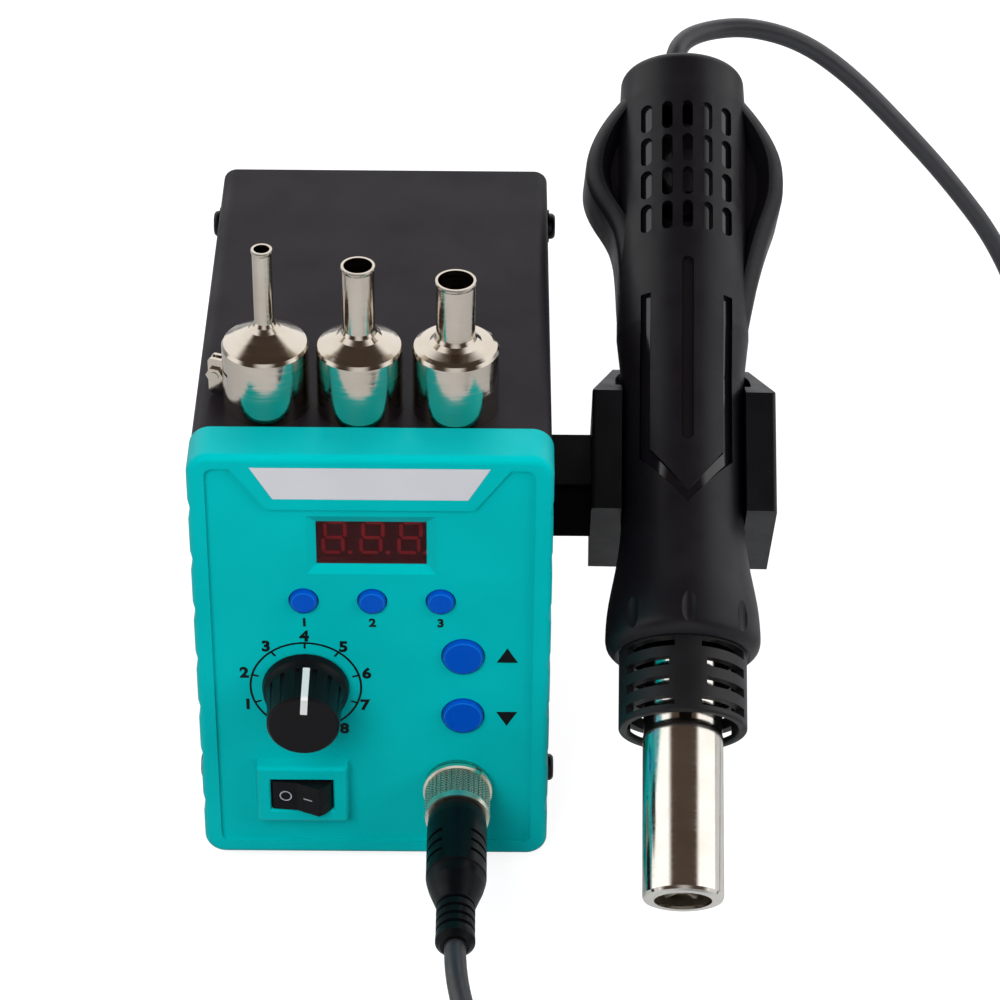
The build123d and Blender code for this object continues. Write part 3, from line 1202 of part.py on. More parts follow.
# ---- holder ----------------------------------------------------------------------------------
def make_cradle():
    """Channel that the handpiece lies in, open on top, with a tapered tab up its back."""
    middle = (CRADLE_FROM + CRADLE_TAB_TO) / 2
    side = face_of((CRADLE_FROM, CRADLE_TOP), (CRADLE_TO, CRADLE_TOP), (CRADLE_TAB_TO, CRADLE_TAB_TOP),
                   (CRADLE_TAB_TO, CRADLE_LOW), (CRADLE_FROM, CRADLE_LOW))
    wall = Plane(origin=(-CRADLE_HALF, 0, 0), x_dir=(0, 0, 1), z_dir=(1, 0, 0))
    body = extrude(wall * side, 2 * CRADLE_HALF)
    plan = face_of((-CRADLE_HALF, CRADLE_FROM), (-CRADLE_HALF, CRADLE_TO), (-CRADLE_TAB_HALF, CRADLE_TAB_TO),
                   (CRADLE_TAB_HALF, CRADLE_TAB_TO), (CRADLE_HALF, CRADLE_TO), (CRADLE_HALF, CRADLE_FROM))
    body &= from_above(plan, CRADLE_LOW - 1, CRADLE_TOP + 1)
    rims = body.edges().filter_by(Axis.Z).group_by(Axis.Y)[0]
    body = fillet(rims, 1.2)
    reach = 2 * (CRADLE_TAB_TO - CRADLE_FROM)
    for grip_r, at in ((WAIST_R, middle), (BARREL_R, WAIST_TO + reach / 2)):
        channel_r = grip_r + SLIDE_GAP
        body -= Pos(0, 0, at) * Cylinder(channel_r, reach)
        body -= Pos(0, -20, at) * Box(2 * channel_r, 40, reach)
    body -= Pos(0, magnet_depth(), (CRADLE_FROM + CRADLE_TO) / 2) * Rot(90, 0, 0) * (
        Cylinder(MAGNET_D / 2 + 0.05, MAGNET_T))
    return CRADLE * body


def magnet_depth():
    """Middle of the magnet, let into the bottom of the channel."""
    channel_r = WAIST_R + SLIDE_GAP
    return math.sqrt(channel_r ** 2 - (MAGNET_D / 2) ** 2) + MAGNET_T / 2 + 0.6


def make_magnet():
    disc = Rot(90, 0, 0) * Cylinder(MAGNET_D / 2, MAGNET_T)
    return CRADLE * (Pos(0, magnet_depth(), (CRADLE_FROM + CRADLE_TO) / 2) * disc)


def make_arm(cradle):
    body = plain_box((COVER_W / 2, HP_X), ARM_Y, ARM_Z)
    body = fillet(body.edges().filter_by(Axis.X), ARM_ROUND)
    channel = CRADLE * (Pos(0, 0, HP_TAIL / 2) * Cylinder(CRADLE_HALF - ARM_SINK, HP_TAIL))
    keep = CRADLE * (Pos(-CRADLE_HALF - 20, 0, HP_TAIL / 2) * Box(40, 120, HP_TAIL))
    body = (body & keep) - channel
    for y, z in HOLDER_SCREWS:
        body -= cross_hole(COVER_W / 2, y, z, SCREW_D, 2 * SCREW_L)
    return body - cradle


def make_holder_screw(y, z):
    """Pan head screw put in from inside the case."""
    inside = COVER_W / 2 - SHEET
    head = cross_hole(inside - SCREW_HEAD_H / 2, y, z, SCREW_HEAD_D, SCREW_HEAD_H)
    return head + cross_hole(inside + SCREW_L / 2 - 0.5, y, z, SCREW_D - 0.1, SCREW_L + 0.4)


# ---- inside the case -------------------------------------------------------------------------
FLOOR = BASE_Z + SHEET
BOARD_Z = FLOOR + STANDOFF_H


def standoff_places():
    half_w, half_d = POWER_BOARD[0] / 2 - STANDOFF_INSET, POWER_BOARD[1] / 2 - STANDOFF_INSET
    return [(x, POWER_BOARD_Y + y) for x in (-half_w, half_w) for y in (-half_d, half_d)]


def make_standoff(x, y):
    return Pos(x, y, FLOOR + STANDOFF_H / 2) * (
        extrude(RegularPolygon(STANDOFF_D / 2, 6), STANDOFF_H / 2, both=True)
        - Cylinder(1.4, STANDOFF_H + 1))


def make_board_screw(x, y):
    top = BOARD_Z + BOARD_T
    head = Pos(x, y, top + BOARD_SCREW_HEAD_H / 2) * Cylinder(BOARD_SCREW_HEAD_D / 2, BOARD_SCREW_HEAD_H)
    head -= Pos(x, y, top + BOARD_SCREW_HEAD_H) * Box(BOARD_SCREW_HEAD_D + 1, 0.8, 1.4)
    return head + Pos(x, y, top - 2.5) * Cylinder(1.4, 7)


def make_power_board():
    board = Rectangle(*POWER_BOARD)
    board -= [Pos(x, y - POWER_BOARD_Y) * Circle(1.5) for x, y in standoff_places()]
    body = Pos(0, POWER_BOARD_Y, BOARD_Z) * extrude(board, BOARD_T)
    top = BOARD_Z + BOARD_T
    body += Pos(-24, POWER_BOARD_Y - 12, top + 8) * Cylinder(6, 16)
    body += Pos(-24, POWER_BOARD_Y + 6, top + 6) * Cylinder(5, 12)
    body += Pos(26, POWER_BOARD_Y - 16, top + 5) * Box(20, 12, 10)
    body += Pos(-6, POWER_BOARD_Y - 18, top + 6) * Box(16, 14, 12)
    return body


def make_heatsink():
    top = BOARD_Z + BOARD_T
    place = Pos(13, POWER_BOARD_Y + 14, top)
    sink = Pos(0, 0, SINK_H / 2) * Box(SINK_W, 3, SINK_H)
    for i in range(SINK_FINS):
        x = (i - (SINK_FINS - 1) / 2) * SINK_W / SINK_FINS
        sink += Pos(x, 5.5, SINK_H / 2) * Box(1.4, 9, SINK_H)
    triac = Pos(0, -3.7, 13) * Box(10, 4.4, 16)
    legs = [Pos(x, -4.0, 3) * Box(0.9, 0.6, 6) for x in (-2.5, 0, 2.5)]
    return place * (sink + triac + legs)


def make_trafo_core():
    core = Pos(0, 0, TRAFO_H / 2) * Box(TRAFO_W, TRAFO_D * 0.5, TRAFO_H)
    for side in (-1, 1):
        core -= Pos(side * TRAFO_W / 4, 0, TRAFO_H / 2) * Box(TRAFO_W / 6, TRAFO_D, TRAFO_H * 0.66)
    foot = Pos(0, 0, 0.6) * Box(TRAFO_W + 2 * TRAFO_FOOT, TRAFO_D * 0.5, 1.2)
    foot -= [Pos(side * (TRAFO_W / 2 + TRAFO_FOOT / 2), 0, 0.6) * Cylinder(2, 3) for side in (-1, 1)]
    return Pos(0, TRAFO_Y, FLOOR) * (core + foot)


def make_trafo_winding():
    leg = TRAFO_W / 3
    outer_w = TRAFO_W * 2 / 3 - 0.4
    tall = TRAFO_H * 0.66 - 0.4
    body = Box(outer_w, TRAFO_D, tall) - Box(leg + 0.3, TRAFO_D * 0.5 + 0.3, tall + 2)
    body = fillet(body.edges().filter_by(Axis.Z).group_by(SortBy.DISTANCE)[-1], 4)
    return Pos(0, TRAFO_Y, FLOOR + TRAFO_H / 2) * body


def make_inlet():
    """IEC appliance inlet in the rear wall, its socket open to the back."""
    wall = CASE_BACK - SHEET
    flange = Pos(INLET_X, INLET_Z) * RectangleRounded(INLET_FLANGE_W, INLET_FLANGE_H, 4)
    flange -= [Pos(INLET_X + s * INLET_SCREW_PITCH / 2, INLET_Z) * Circle(1.7) for s in (-1, 1)]
    body = front_prism(flange, wall, wall + 2.6)
    block = Pos(INLET_X, INLET_Z) * Rectangle(INLET_W - 0.4, INLET_H - 0.4)
    body += front_prism(block, wall - INLET_DEPTH, wall + 0.5)
    wide, tall, deep = INLET_CAVITY
    hole = Rectangle(wide, tall)
    hole = chamfer(hole.vertices().group_by(Axis.Y)[-1], 4.5)
    back = wall + 2.6
    body -= front_prism(Pos(INLET_X, INLET_Z) * hole, back - deep, back + 1)
    for x, z in ((0, 3.6), (-7, -1.4), (7, -1.4)):
        body += plain_box((INLET_X + x - 1, INLET_X + x + 1), (back - deep - 1, back - 6),
                          (INLET_Z + z - 2.2, INLET_Z + z + 2.2))
        body += plain_box((INLET_X + x - 3, INLET_X + x + 3),
                          (wall - INLET_DEPTH - 7, wall - INLET_DEPTH + 1),
                          (INLET_Z + z - 0.4, INLET_Z + z + 0.4))
    return body


def make_inlet_screw(side):
    x, back = INLET_X + side * INLET_SCREW_PITCH / 2, CASE_BACK - SHEET + 2.6
    head = front_disc(x, INLET_Z, 2.9, back, back + 1.6)
    head -= plain_box((x - 3.5, x + 3.5), (back + 0.8, back + 2), (INLET_Z - 0.4, INLET_Z + 0.4))
    nut = front_prism(Pos(x, INLET_Z) * RegularPolygon(2.9, 6), back - 7, back - 4.7)
    return head + nut + front_disc(x, INLET_Z, 1.5, back - 8, back + 0.4)


# ---- tail gland and cord ---------------------------------------------------------------------
CORD_Z = CORD_D / 2


def make_gland():
    body = Pos(0, 0, GLAND_L / 2) * Cone(GLAND_D / 2, GLAND_END_D / 2, GLAND_L)
    body += Pos(0, 0, -2.4) * Cylinder(GLAND_D / 2 - 2.1, 5)
    return HP * (Pos(GLAND_X, GLAND_Y, HP_TAIL) * body)


def hp_point(x, y, station):
    return HP.from_local_coords(Vector(x, y, station))


def handle_route():
    """The cord from the handpiece's tail to the coil, points chosen by hand."""
    start = hp_point(GLAND_X, GLAND_Y, HP_TAIL + GLAND_L)
    return [
        start,
        start + HP.z_dir * 9.2,
        Vector(89.2, 188.2, 165.3),
        Vector(98.3, 195.6, 164.8),
        Vector(110.7, 199.5, 163.6),
        Vector(126.6, 200.5, 158.2),
        Vector(141.9, 200.5, 146.6),
        Vector(158.6, 201, 128.8),
        Vector(176, 202, 108.6),
        Vector(194, 203, 84.0),
        Vector(207, 200, 54),
        Vector(217, 188, 29),
        Vector(221, 167, 11),
        Vector(220, 140, CORD_Z),
        Vector(213, 95, CORD_Z),
        Vector(206, 45, CORD_Z),
        Vector(200, 0, CORD_Z),
        Vector(192, -40, CORD_Z),
        Vector(176, -70, CORD_Z),
        Vector(158, -92, CORD_Z),
        Vector(COIL_CENTRE[0] + COIL_RADIUS, COIL_CENTRE[1], CORD_Z),
    ]


def plug_route():
    """The cord from the plug's boot to the top of the coil."""
    top = CORD_Z + COIL_TURNS * COIL_LAY
    return [
        Vector(SOCKET_X, BOOT_FRONT, SOCKET_Z),
        Vector(SOCKET_X, BOOT_FRONT - 14, SOCKET_Z),
        Vector(SOCKET_X + 7, BOOT_FRONT - 37, SOCKET_Z - 4),
        Vector(SOCKET_X + 24, BOOT_FRONT - 62, SOCKET_Z - 8),
        Vector(SOCKET_X + 50, COIL_CENTRE[1] - COIL_RADIUS, top + 1),
        Vector(COIL_CENTRE[0], COIL_CENTRE[1] - COIL_RADIUS, top),
    ]


def route_radii(points):
    """The largest arc that each corner's two runs allow."""
    radii = []
    for before, here, after in zip(points, points[1:], points[2:]):
        into, out = here - before, after - here
        half_turn = math.radians(into.get_angle(out)) / 2
        radii.append(0.45 * min(into.length, out.length) / math.tan(half_turn))
    return radii


def make_cord(name, points):
    radii = route_radii(points)
    path = FilletPolyline(*points, radius=radii)
    start = Plane(origin=points[0], z_dir=(points[1] - points[0]).normalized())
    tube = sweep(start * Circle(CORD_D / 2), path=path)
    expected = math.pi * (CORD_D / 2) ** 2 * path.length
    print(name, "length", round(path.length, 1), "volume ratio", round(tube.volume / expected, 4),
          "radii", [round(r) for r in radii])
    return tube


def make_coil():
    tall = COIL_TURNS * COIL_LAY + CORD_D
    body = Cylinder(COIL_RADIUS + CORD_D / 2, tall) - Cylinder(COIL_RADIUS - CORD_D / 2, tall + 1)
    print("coil length", round(2 * math.pi * COIL_RADIUS * COIL_TURNS, 1))
    return Pos(COIL_CENTRE[0], COIL_CENTRE[1], tall / 2) * body


# ---- build -----------------------------------------------------------------------------------
def build_case():
    save("case_cover", make_cover())
    save("base_pan", make_base_pan())
    save("rubber_feet", *[make_foot(x, y) for x, y in foot_places()])
    save("cover_screws", *[pan_screw(side, y, z) for side in (-1, 1) for y, z in COVER_SCREWS])
    save("power_board", make_power_board())
    save("board_standoffs", *[make_standoff(x, y) for x, y in standoff_places()])
    save("board_screws", *[make_board_screw(x, y) for x, y in standoff_places()])
    save("triac_heatsink", make_heatsink())
    save("transformer_core", make_trafo_core())
    save("transformer_winding", make_trafo_winding())
    save("mains_inlet", make_inlet())
    save("inlet_screws", *[make_inlet_screw(side) for side in (-1, 1)])


def build_front():
    save("front_bezel", cut_switch_room(make_bezel()))
    save("name_plate", make_plate())
    save("display_window", make_window())
    save("display_module", make_display())
    save("control_board", make_control_board())
    save("tact_switches", *[make_tact(x, z) for x, z in button_places()])
    places = button_places()
    for number, (x, z) in enumerate(places[:3], start=1):
        save(f"preset_button_{number}", make_button(x, z, SMALL_BUTTON_D, SMALL_BUTTON_OUT))
    for name, (x, z) in zip(("up_button", "down_button"), places[3:]):
        save(name, make_button(x, z, LARGE_BUTTON_D, LARGE_BUTTON_OUT))
    knob, pointer = make_knob()
    save("airflow_knob", knob)
    save("knob_pointer", pointer)
    save("pot_shaft", make_pot_shaft())
    save("airflow_pot", make_pot())
    save("pot_nut", make_pot_nut())
    save("switch_housing", make_switch_housing())
    save("switch_rocker", make_rocker())


def build_plug():
    save("panel_socket", make_socket())
    save("socket_nut", make_socket_nut())
    save("coupling_ring", make_coupling_ring())
    save("plug_shell", make_plug_shell())
    save("plug_boot", make_boot())


def build_handpiece():
    front, rear = make_shells()
    save("handle_front_shell", front)
    save("handle_rear_shell", rear)
    save("handle_screws", *[make_shell_screw(x, z) for x, z in SHELL_SCREWS])
    save("vent_cage", make_cage())
    save("heater_tube", make_heater_tube())
    save("heater_core", make_heater_core())
    save("heater_coil", *make_heater_coil())
    save("blower_housing", make_blower_housing())
    save("blower_impeller", make_impeller())
    save("blower_motor", make_motor())
    save("reed_board", make_reed_board())
    save("tail_gland", make_gland())


def build_holder():
    cradle = make_cradle()
    save("holder_cradle", cradle)
    save("holder_arm", make_arm(cradle))
    save("holder_magnet", make_magnet())
    save("holder_screws", *[make_holder_screw(y, z) for y, z in HOLDER_SCREWS])


def build_nozzles():
    for name, place in NOZZLES.items():
        nozzle, screw = make_nozzle(place)
        save(f"nozzle_{name}", nozzle)
        save(f"nozzle_{name}_screw", screw)


def build_cord():
    save("cord_handle_run", make_cord("cord_handle_run", handle_route()))
    save("cord_coil", make_coil())
    save("cord_plug_run", make_cord("cord_plug_run", plug_route()))


os.makedirs("parts", exist_ok=True)
build_case()
build_front()
build_plug()
build_handpiece()
build_holder()
build_nozzles()
build_cord()
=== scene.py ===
"""Looks of a benchtop hot air station: finishes, printed marks, digits, the cord and the room."""

import json
import logging
import math
from dataclasses import dataclass, field
from enum import Enum
from typing import Any, Callable, Mapping, Sequence

import bmesh
import bpy
from mathutils import Matrix, Vector


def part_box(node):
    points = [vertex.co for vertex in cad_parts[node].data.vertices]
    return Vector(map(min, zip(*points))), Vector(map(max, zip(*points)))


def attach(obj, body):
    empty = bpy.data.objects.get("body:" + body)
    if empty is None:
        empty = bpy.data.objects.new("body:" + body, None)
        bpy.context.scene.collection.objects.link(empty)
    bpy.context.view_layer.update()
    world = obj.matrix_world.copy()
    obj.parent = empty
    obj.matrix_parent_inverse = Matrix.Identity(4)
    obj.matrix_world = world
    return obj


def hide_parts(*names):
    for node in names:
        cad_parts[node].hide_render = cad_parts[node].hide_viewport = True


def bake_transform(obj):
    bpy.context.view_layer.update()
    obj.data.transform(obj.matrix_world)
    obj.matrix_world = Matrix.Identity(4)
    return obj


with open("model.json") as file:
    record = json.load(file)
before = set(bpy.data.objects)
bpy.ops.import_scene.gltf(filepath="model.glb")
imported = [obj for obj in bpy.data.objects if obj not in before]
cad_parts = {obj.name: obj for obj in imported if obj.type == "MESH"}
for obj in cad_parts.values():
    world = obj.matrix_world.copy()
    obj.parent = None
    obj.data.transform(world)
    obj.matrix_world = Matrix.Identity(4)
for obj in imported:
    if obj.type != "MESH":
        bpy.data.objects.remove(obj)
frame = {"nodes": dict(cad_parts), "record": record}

log = logging.getLogger("station")
Pair = tuple[float, float]
Point = tuple[float, float, float]
Colour = tuple[float, float, float, float]
Node = bpy.types.Node
Socket = bpy.types.NodeSocket
Piece = bpy.types.Object
MM = 0.001
FACING_FRONT = (math.radians(90), 0, 0)
WHITE: Colour = (1, 1, 1, 1)


def linear(hex_colour: str) -> Colour:
    """Turn an sRGB hex colour into Blender's linear colour.

    Args:
        hex_colour: Six hex digits with a leading hash.

    Returns:
        Linear red, green, blue and an alpha of 1.
    """
    channels = [int(hex_colour[i:i + 2], 16) / 255 for i in (1, 3, 5)]
    # the numbers of the sRGB curve
    red, green, blue = (c / 12.92 if c <= 0.04045 else ((c + 0.055) / 1.055) ** 2.4
                        for c in channels)
    return red, green, blue, 1.0


# ---- node graphs


class Ease(Enum):
    """Ways in which a value runs between its two ends."""

    STRAIGHT = "LINEAR"
    SMOOTH = "SMOOTHSTEP"


def emptied(owner: bpy.types.Material | bpy.types.World) -> bpy.types.NodeTree:
    """Give a material or a world a node tree with nothing in it."""
    owner.use_nodes = True
    owner.node_tree.nodes.clear()
    return owner.node_tree


@dataclass(frozen=True)
class Graph:
    """A node tree and the steps that draw in it."""

    tree: bpy.types.NodeTree

    def feed(self, node: Node, inputs: Mapping[Any, Any]) -> None:
        """Set or link a node's inputs.

        Args:
            node: The node.
            inputs: Input name or index to a value, a socket, or a node for its first output.
        """
        for name, value in inputs.items():
            source = value.outputs[0] if isinstance(value, Node) else value
            if isinstance(source, Socket):
                self.tree.links.new(source, node.inputs[name])
            else:
                node.inputs[name].default_value = source

    def add(self, kind: str, inputs: Mapping[Any, Any] | None = None, **settings: Any) -> Node:
        """Add one shader node.

        Args:
            kind: The node's Blender type, without the ShaderNode in front.
            inputs: What its inputs get, as for feed.
            settings: Attributes to set on the node.

        Returns:
            The new node.
        """
        node = self.tree.nodes.new(f"ShaderNode{kind}")
        for name, value in settings.items():
            setattr(node, name, value)
        self.feed(node, inputs or {})
        return node

    def maths(self, operation: str, *values: Any) -> Socket:
        """Do the named sum on numbers or sockets, given in order, and return its result."""
        return self.add("Math", dict(enumerate(values)), operation=operation).outputs[0]

    def vectors(self, operation: str, *values: Any) -> Any:
        """Do the named sum on vectors, and return both outputs: 0, and "Value" for a number."""
        return self.add("VectorMath", dict(enumerate(values)), operation=operation).outputs

    def place(self, scale: Point = (1, 1, 1), turn: Point = (0, 0, 0),
              centre: Point = (0, 0, 0)) -> Socket:
        """Give a piece's own coordinates, centred, turned and then scaled.

        Args:
            scale: Scale along each axis after turning.
            turn: Turn about each axis, in radians.
            centre: Point that becomes the origin.

        Returns:
            The coordinates in metres.
        """
        moved = self.vectors("SUBTRACT", self.add("TexCoord").outputs["Object"], centre)[0]
        turned = self.add("Mapping", {"Vector": moved, "Rotation": turn})
        return self.vectors("MULTIPLY", turned, scale)[0]

    def noise(self, vector: Socket, size_mm: float, detail: float = 3.0,
              rough: float = 0.5) -> Socket:
        """Make a cloudy pattern whose blobs are about a given size.

        Args:
            vector: Coordinates in metres.
            size_mm: Size of the blobs in millimetres.
            detail: Number of finer layers.
            rough: Weight of the finer layers.

        Returns:
            The pattern, 0 to 1.
        """
        return self.add("TexNoise", {
            "Vector": vector, "Scale": 1 / MM / size_mm, "Detail": detail,
            "Roughness": rough}).outputs["Fac"]

    def spread(self, value: Socket, low: float, high: float, start: float = 0.3,
               end: float = 0.7, ease: Ease = Ease.STRAIGHT) -> Socket:
        """Stretch a pattern between two values.

        Args:
            value: The pattern.
            low: Result at and under start.
            high: Result at and over end.
            start: Pattern value that gives low.
            end: Pattern value that gives high.
            ease: How the result runs between the two.

        Returns:
            The stretched pattern.
        """
        return self.add("MapRange", {
            "Value": value, "From Min": start, "From Max": end, "To Min": low, "To Max": high},
            interpolation_type=ease.value).outputs[0]

    def blend(self, factor: Socket, first: Colour, second: Colour) -> Socket:
        """Mix two colours: a factor of 0 gives the first and 1 the second."""
        return self.add("Mix", {0: factor, 6: first, 7: second}, data_type="RGBA").outputs[2]

    def mix(self, factor: Socket, first: Node, second: Node) -> Node:
        """Mix two shaders: a factor of 0 gives the first and 1 the second."""
        return self.add("MixShader", {0: factor, 1: first, 2: second})


@dataclass(frozen=True)
class Skin(Graph):
    """A material's node tree round its one shader, with the finish's colour and roughness."""

    shader: Node
    colour: str
    roughness: float

    def mottle(self, pattern: Socket, second: str) -> None:
        """Bring a second hex colour into the first where a pattern nears 1."""
        colour = self.blend(pattern, linear(self.colour), linear(second))
        self.feed(self.shader, {"Base Color": colour})

    def dull(self, pattern: Socket, under: float, over: float, start: float = 0.3,
             end: float = 0.7) -> None:
        """Vary the roughness from under to over its own as a pattern runs from start to end."""
        rough = self.spread(pattern, self.roughness - under, self.roughness + over, start, end)
        self.feed(self.shader, {"Roughness": rough})

    def bump(self, height: Socket, depth_mm: float) -> None:
        """Press a height pattern of 0 to 1 into the shader's normal, to a depth."""
        pressed = self.add("Bump", {"Height": height, "Distance": depth_mm * MM})
        self.feed(self.shader, {"Normal": pressed})

    def axes_about(self, node: str) -> Any:
        """Give X, Y and Z from the middle of a node's box."""
        return self.add("SeparateXYZ", {0: self.place(centre=tuple(middle_of(node)))}).outputs


# ---- finishes


@dataclass(frozen=True)
class Finish:
    """A surface that pieces are dressed with, made once and shared."""

    name: str
    colour: str
    roughness: float
    gleam: float = field(default=0.5, kw_only=True)
    gleam_tint: str = field(default="#ffffff", kw_only=True)

    def material(self) -> bpy.types.Material:
        """Give the Blender material, made the first time."""
        if self.name in bpy.data.materials:
            return bpy.data.materials[self.name]
        made = bpy.data.materials.new(self.name)
        graph = Graph(emptied(made))
        shader = graph.add("BsdfPrincipled", {
            "Base Color": linear(self.colour), "Roughness": self.roughness,
            "Specular IOR Level": self.gleam, "Specular Tint": linear(self.gleam_tint)})
        graph.add("OutputMaterial", {"Surface": shader})
        self.detail(Skin(graph.tree, shader, self.colour, self.roughness))
        made.diffuse_color = linear(self.colour)
        return made

    def detail(self, skin: Skin) -> None:
        """Add what this surface has beyond its colour; each kind of finish has its own."""

    def dress(self, *pieces: Piece) -> None:
        """Give this finish to every face of some pieces.

        Args:
            pieces: Objects that take the finish on all their slots.
        """
        for piece in pieces:
            if not piece.material_slots:
                piece.data.materials.append(self.material())
            for slot in piece.material_slots:
                slot.material = self.material()


@dataclass(frozen=True)
class MouldedPlastic(Finish):
    """Injection moulded plastic: even colour, fine spark eroded grain, slightly uneven gloss."""

    second: str = "#000000"
    grain_mm: float = 0.35
    grain_depth_mm: float = 0.012
    gloss_swing: float = 0.05
    flow_mm: float = 28.0
    touch_mm: float = 7.0

    def detail(self, skin: Skin) -> None:
        """Add flow marks in colour and gloss, and the mould's grain."""
        coords = skin.place()
        flow = skin.noise(coords, self.flow_mm, 2.0)
        skin.mottle(skin.spread(flow, 0.0, 1.0), self.second)
        skin.dull(skin.noise(coords, self.touch_mm), self.gloss_swing, self.gloss_swing)
        skin.bump(skin.noise(coords, self.grain_mm, 2.0, 0.6), self.grain_depth_mm)


@dataclass(frozen=True)
class PowderCoat(Finish):
    """Powder coat on sheet steel: a satin film with a low orange peel and dust in its gloss."""

    peel_mm: float = 1.3
    peel_depth_mm: float = 0.018
    touch_mm: float = 18.0

    def detail(self, skin: Skin) -> None:
        """Add the orange peel and a soft change of gloss from handling."""
        coords = skin.place()
        skin.dull(skin.noise(coords, self.touch_mm, 4.0), 0.05, 0.07)
        skin.bump(skin.noise(coords, self.peel_mm, 2.0, 0.55), self.peel_depth_mm)


@dataclass(frozen=True)
class DrawnSteel(Finish):
    """Polished sheet steel: fine rings round the axis it was turned on, and faint stains."""

    tint: str = "#8a7a63"
    axis_turn: Point = (0.0, 0.0, 0.0)
    # drawn much coarser than real hairlines so that they show
    band_mm: float = 0.48
    ring_mm: float = 0.004
    stretch: Point = (0.06, 0.06, 1.0)
    stain: float = 0.25
    stain_mm: float = 9.0

    def detail(self, skin: Skin) -> None:
        """Add rings round the piece's axis and a warm stain in patches."""
        skin.feed(skin.shader, {"Metallic": 1.0})
        rings = skin.noise(skin.place(self.stretch, self.axis_turn), self.band_mm, 2.0)
        stains = skin.noise(skin.place(), self.stain_mm, 4.0)
        skin.mottle(skin.spread(stains, 0.0, self.stain, 0.45, 0.75), self.tint)
        skin.dull(rings, 0.05, 0.08)
        skin.bump(rings, self.ring_mm)


@dataclass(frozen=True)
class PlatedMetal(Finish):
    """Nickel or zinc plate over a machined piece: bright, with small pits and dull patches."""

    tint: str = "#8d8778"
    patch_mm: float = 2.5
    pit_mm: float = 0.25
    pit_depth_mm: float = 0.006

    def detail(self, skin: Skin) -> None:
        """Add dull patches and fine machining grain."""
        skin.feed(skin.shader, {"Metallic": 1.0})
        coords = skin.place()
        patches = skin.noise(coords, self.patch_mm, 4.0)
        skin.mottle(skin.spread(patches, 0.0, 0.5), self.tint)
        skin.dull(patches, 0.06, 0.12)
        skin.bump(skin.noise(coords, self.pit_mm, 2.0), self.pit_depth_mm)


@dataclass(frozen=True)
class Rubber(Finish):
    """Moulded rubber or silicone: deep colour, dull skin with a little dust in it."""

    dust: str = "#3a3a3c"
    grain_mm: float = 0.6
    grain_depth_mm: float = 0.02
    dust_mm: float = 11.0
    touch_mm: float = 3.0

    def detail(self, skin: Skin) -> None:
        """Add dust in patches and a pebbly skin."""
        coords = skin.place()
        dusty = skin.spread(skin.noise(coords, self.dust_mm, 5.0), 0.0, 0.55, 0.5, 0.8)
        skin.mottle(dusty, self.dust)
        skin.dull(skin.noise(coords, self.touch_mm), 0.06, 0.08)
        skin.bump(skin.noise(coords, self.grain_mm, 2.0), self.grain_depth_mm)


@dataclass(frozen=True)
class CircuitBoard(Finish):
    """Glass epoxy board under green solder mask, its tracks showing as lighter lines."""

    track: str = "#2f8a4a"
    cell_scale: float = 260.0
    track_depth_mm: float = 0.03

    def detail(self, skin: Skin) -> None:
        """Add tracks a millimetre wide, stepped like a routed board."""
        cells = skin.add("TexVoronoi", {
            "Vector": skin.place(), "Scale": self.cell_scale, "Randomness": 0.7},
            distance="MANHATTAN")
        tracks = skin.spread(cells.outputs["Distance"], 1.0, 0.0, 0.30, 0.36)
        skin.mottle(tracks, self.track)
        skin.bump(tracks, self.track_depth_mm)


@dataclass(frozen=True)
class FiredCeramic(Finish):
    """Unglazed ceramic, browned in patches by heat."""

    scorch: str = "#5a4028"
    scorch_mm: float = 5.0
    grain_mm: float = 0.4
    grain_depth_mm: float = 0.03

    def detail(self, skin: Skin) -> None:
        """Add scorched patches and a granular break."""
        coords = skin.place()
        burnt = skin.spread(skin.noise(coords, self.scorch_mm, 5.0), 0.0, 0.8, 0.4, 0.7)
        skin.mottle(burnt, self.scorch)
        skin.bump(skin.noise(coords, self.grain_mm), self.grain_depth_mm)


@dataclass(frozen=True)
class PrintedInk(Finish):
    """Pad printed ink: flat, with faintly uneven cover."""

    thin: str = "#2a2e30"
    patch_mm: float = 0.5

    def detail(self, skin: Skin) -> None:
        """Add thin places in the ink."""
        weak = skin.spread(skin.noise(skin.place(), self.patch_mm), 0.0, 0.6, 0.55, 0.8)
        skin.mottle(weak, self.thin)


@dataclass(frozen=True)
class TintedAcrylic(Finish):
    """Polished tinted acrylic over the digits: deep colour, mirror gloss, a few fine scratches."""

    transmission: float = 0.95
    ior: float = 1.2
    scratch_mm: float = 0.3
    stretch: Point = (0.15, 1.0, 1.0)
    lean: Point = (0.0, 0.5, 0.0)

    def detail(self, skin: Skin) -> None:
        """Let light through and add the scratches."""
        skin.feed(skin.shader, {"Transmission Weight": self.transmission, "IOR": self.ior})
        marks = skin.noise(skin.place(self.stretch, self.lean), self.scratch_mm, 2.0)
        skin.dull(marks, 0.0, 0.06, 0.6, 0.75)


@dataclass(frozen=True)
class StackedSteel(Finish):
    """Laminated transformer steel, its sheets showing as lines half a millimetre apart."""

    sheet_mm: float = 0.5
    sheet_depth_mm: float = 0.08

    def detail(self, skin: Skin) -> None:
        """Add the edges of the sheets."""
        waves = {"Vector": skin.place(), "Scale": 1 / MM / (self.sheet_mm * 2 * math.pi),
                 "Distortion": 0.4}
        sheets = skin.add("TexWave", waves, bands_direction="Y")
        skin.feed(skin.shader, {"Metallic": 0.6})
        skin.bump(sheets.outputs["Fac"], self.sheet_depth_mm)


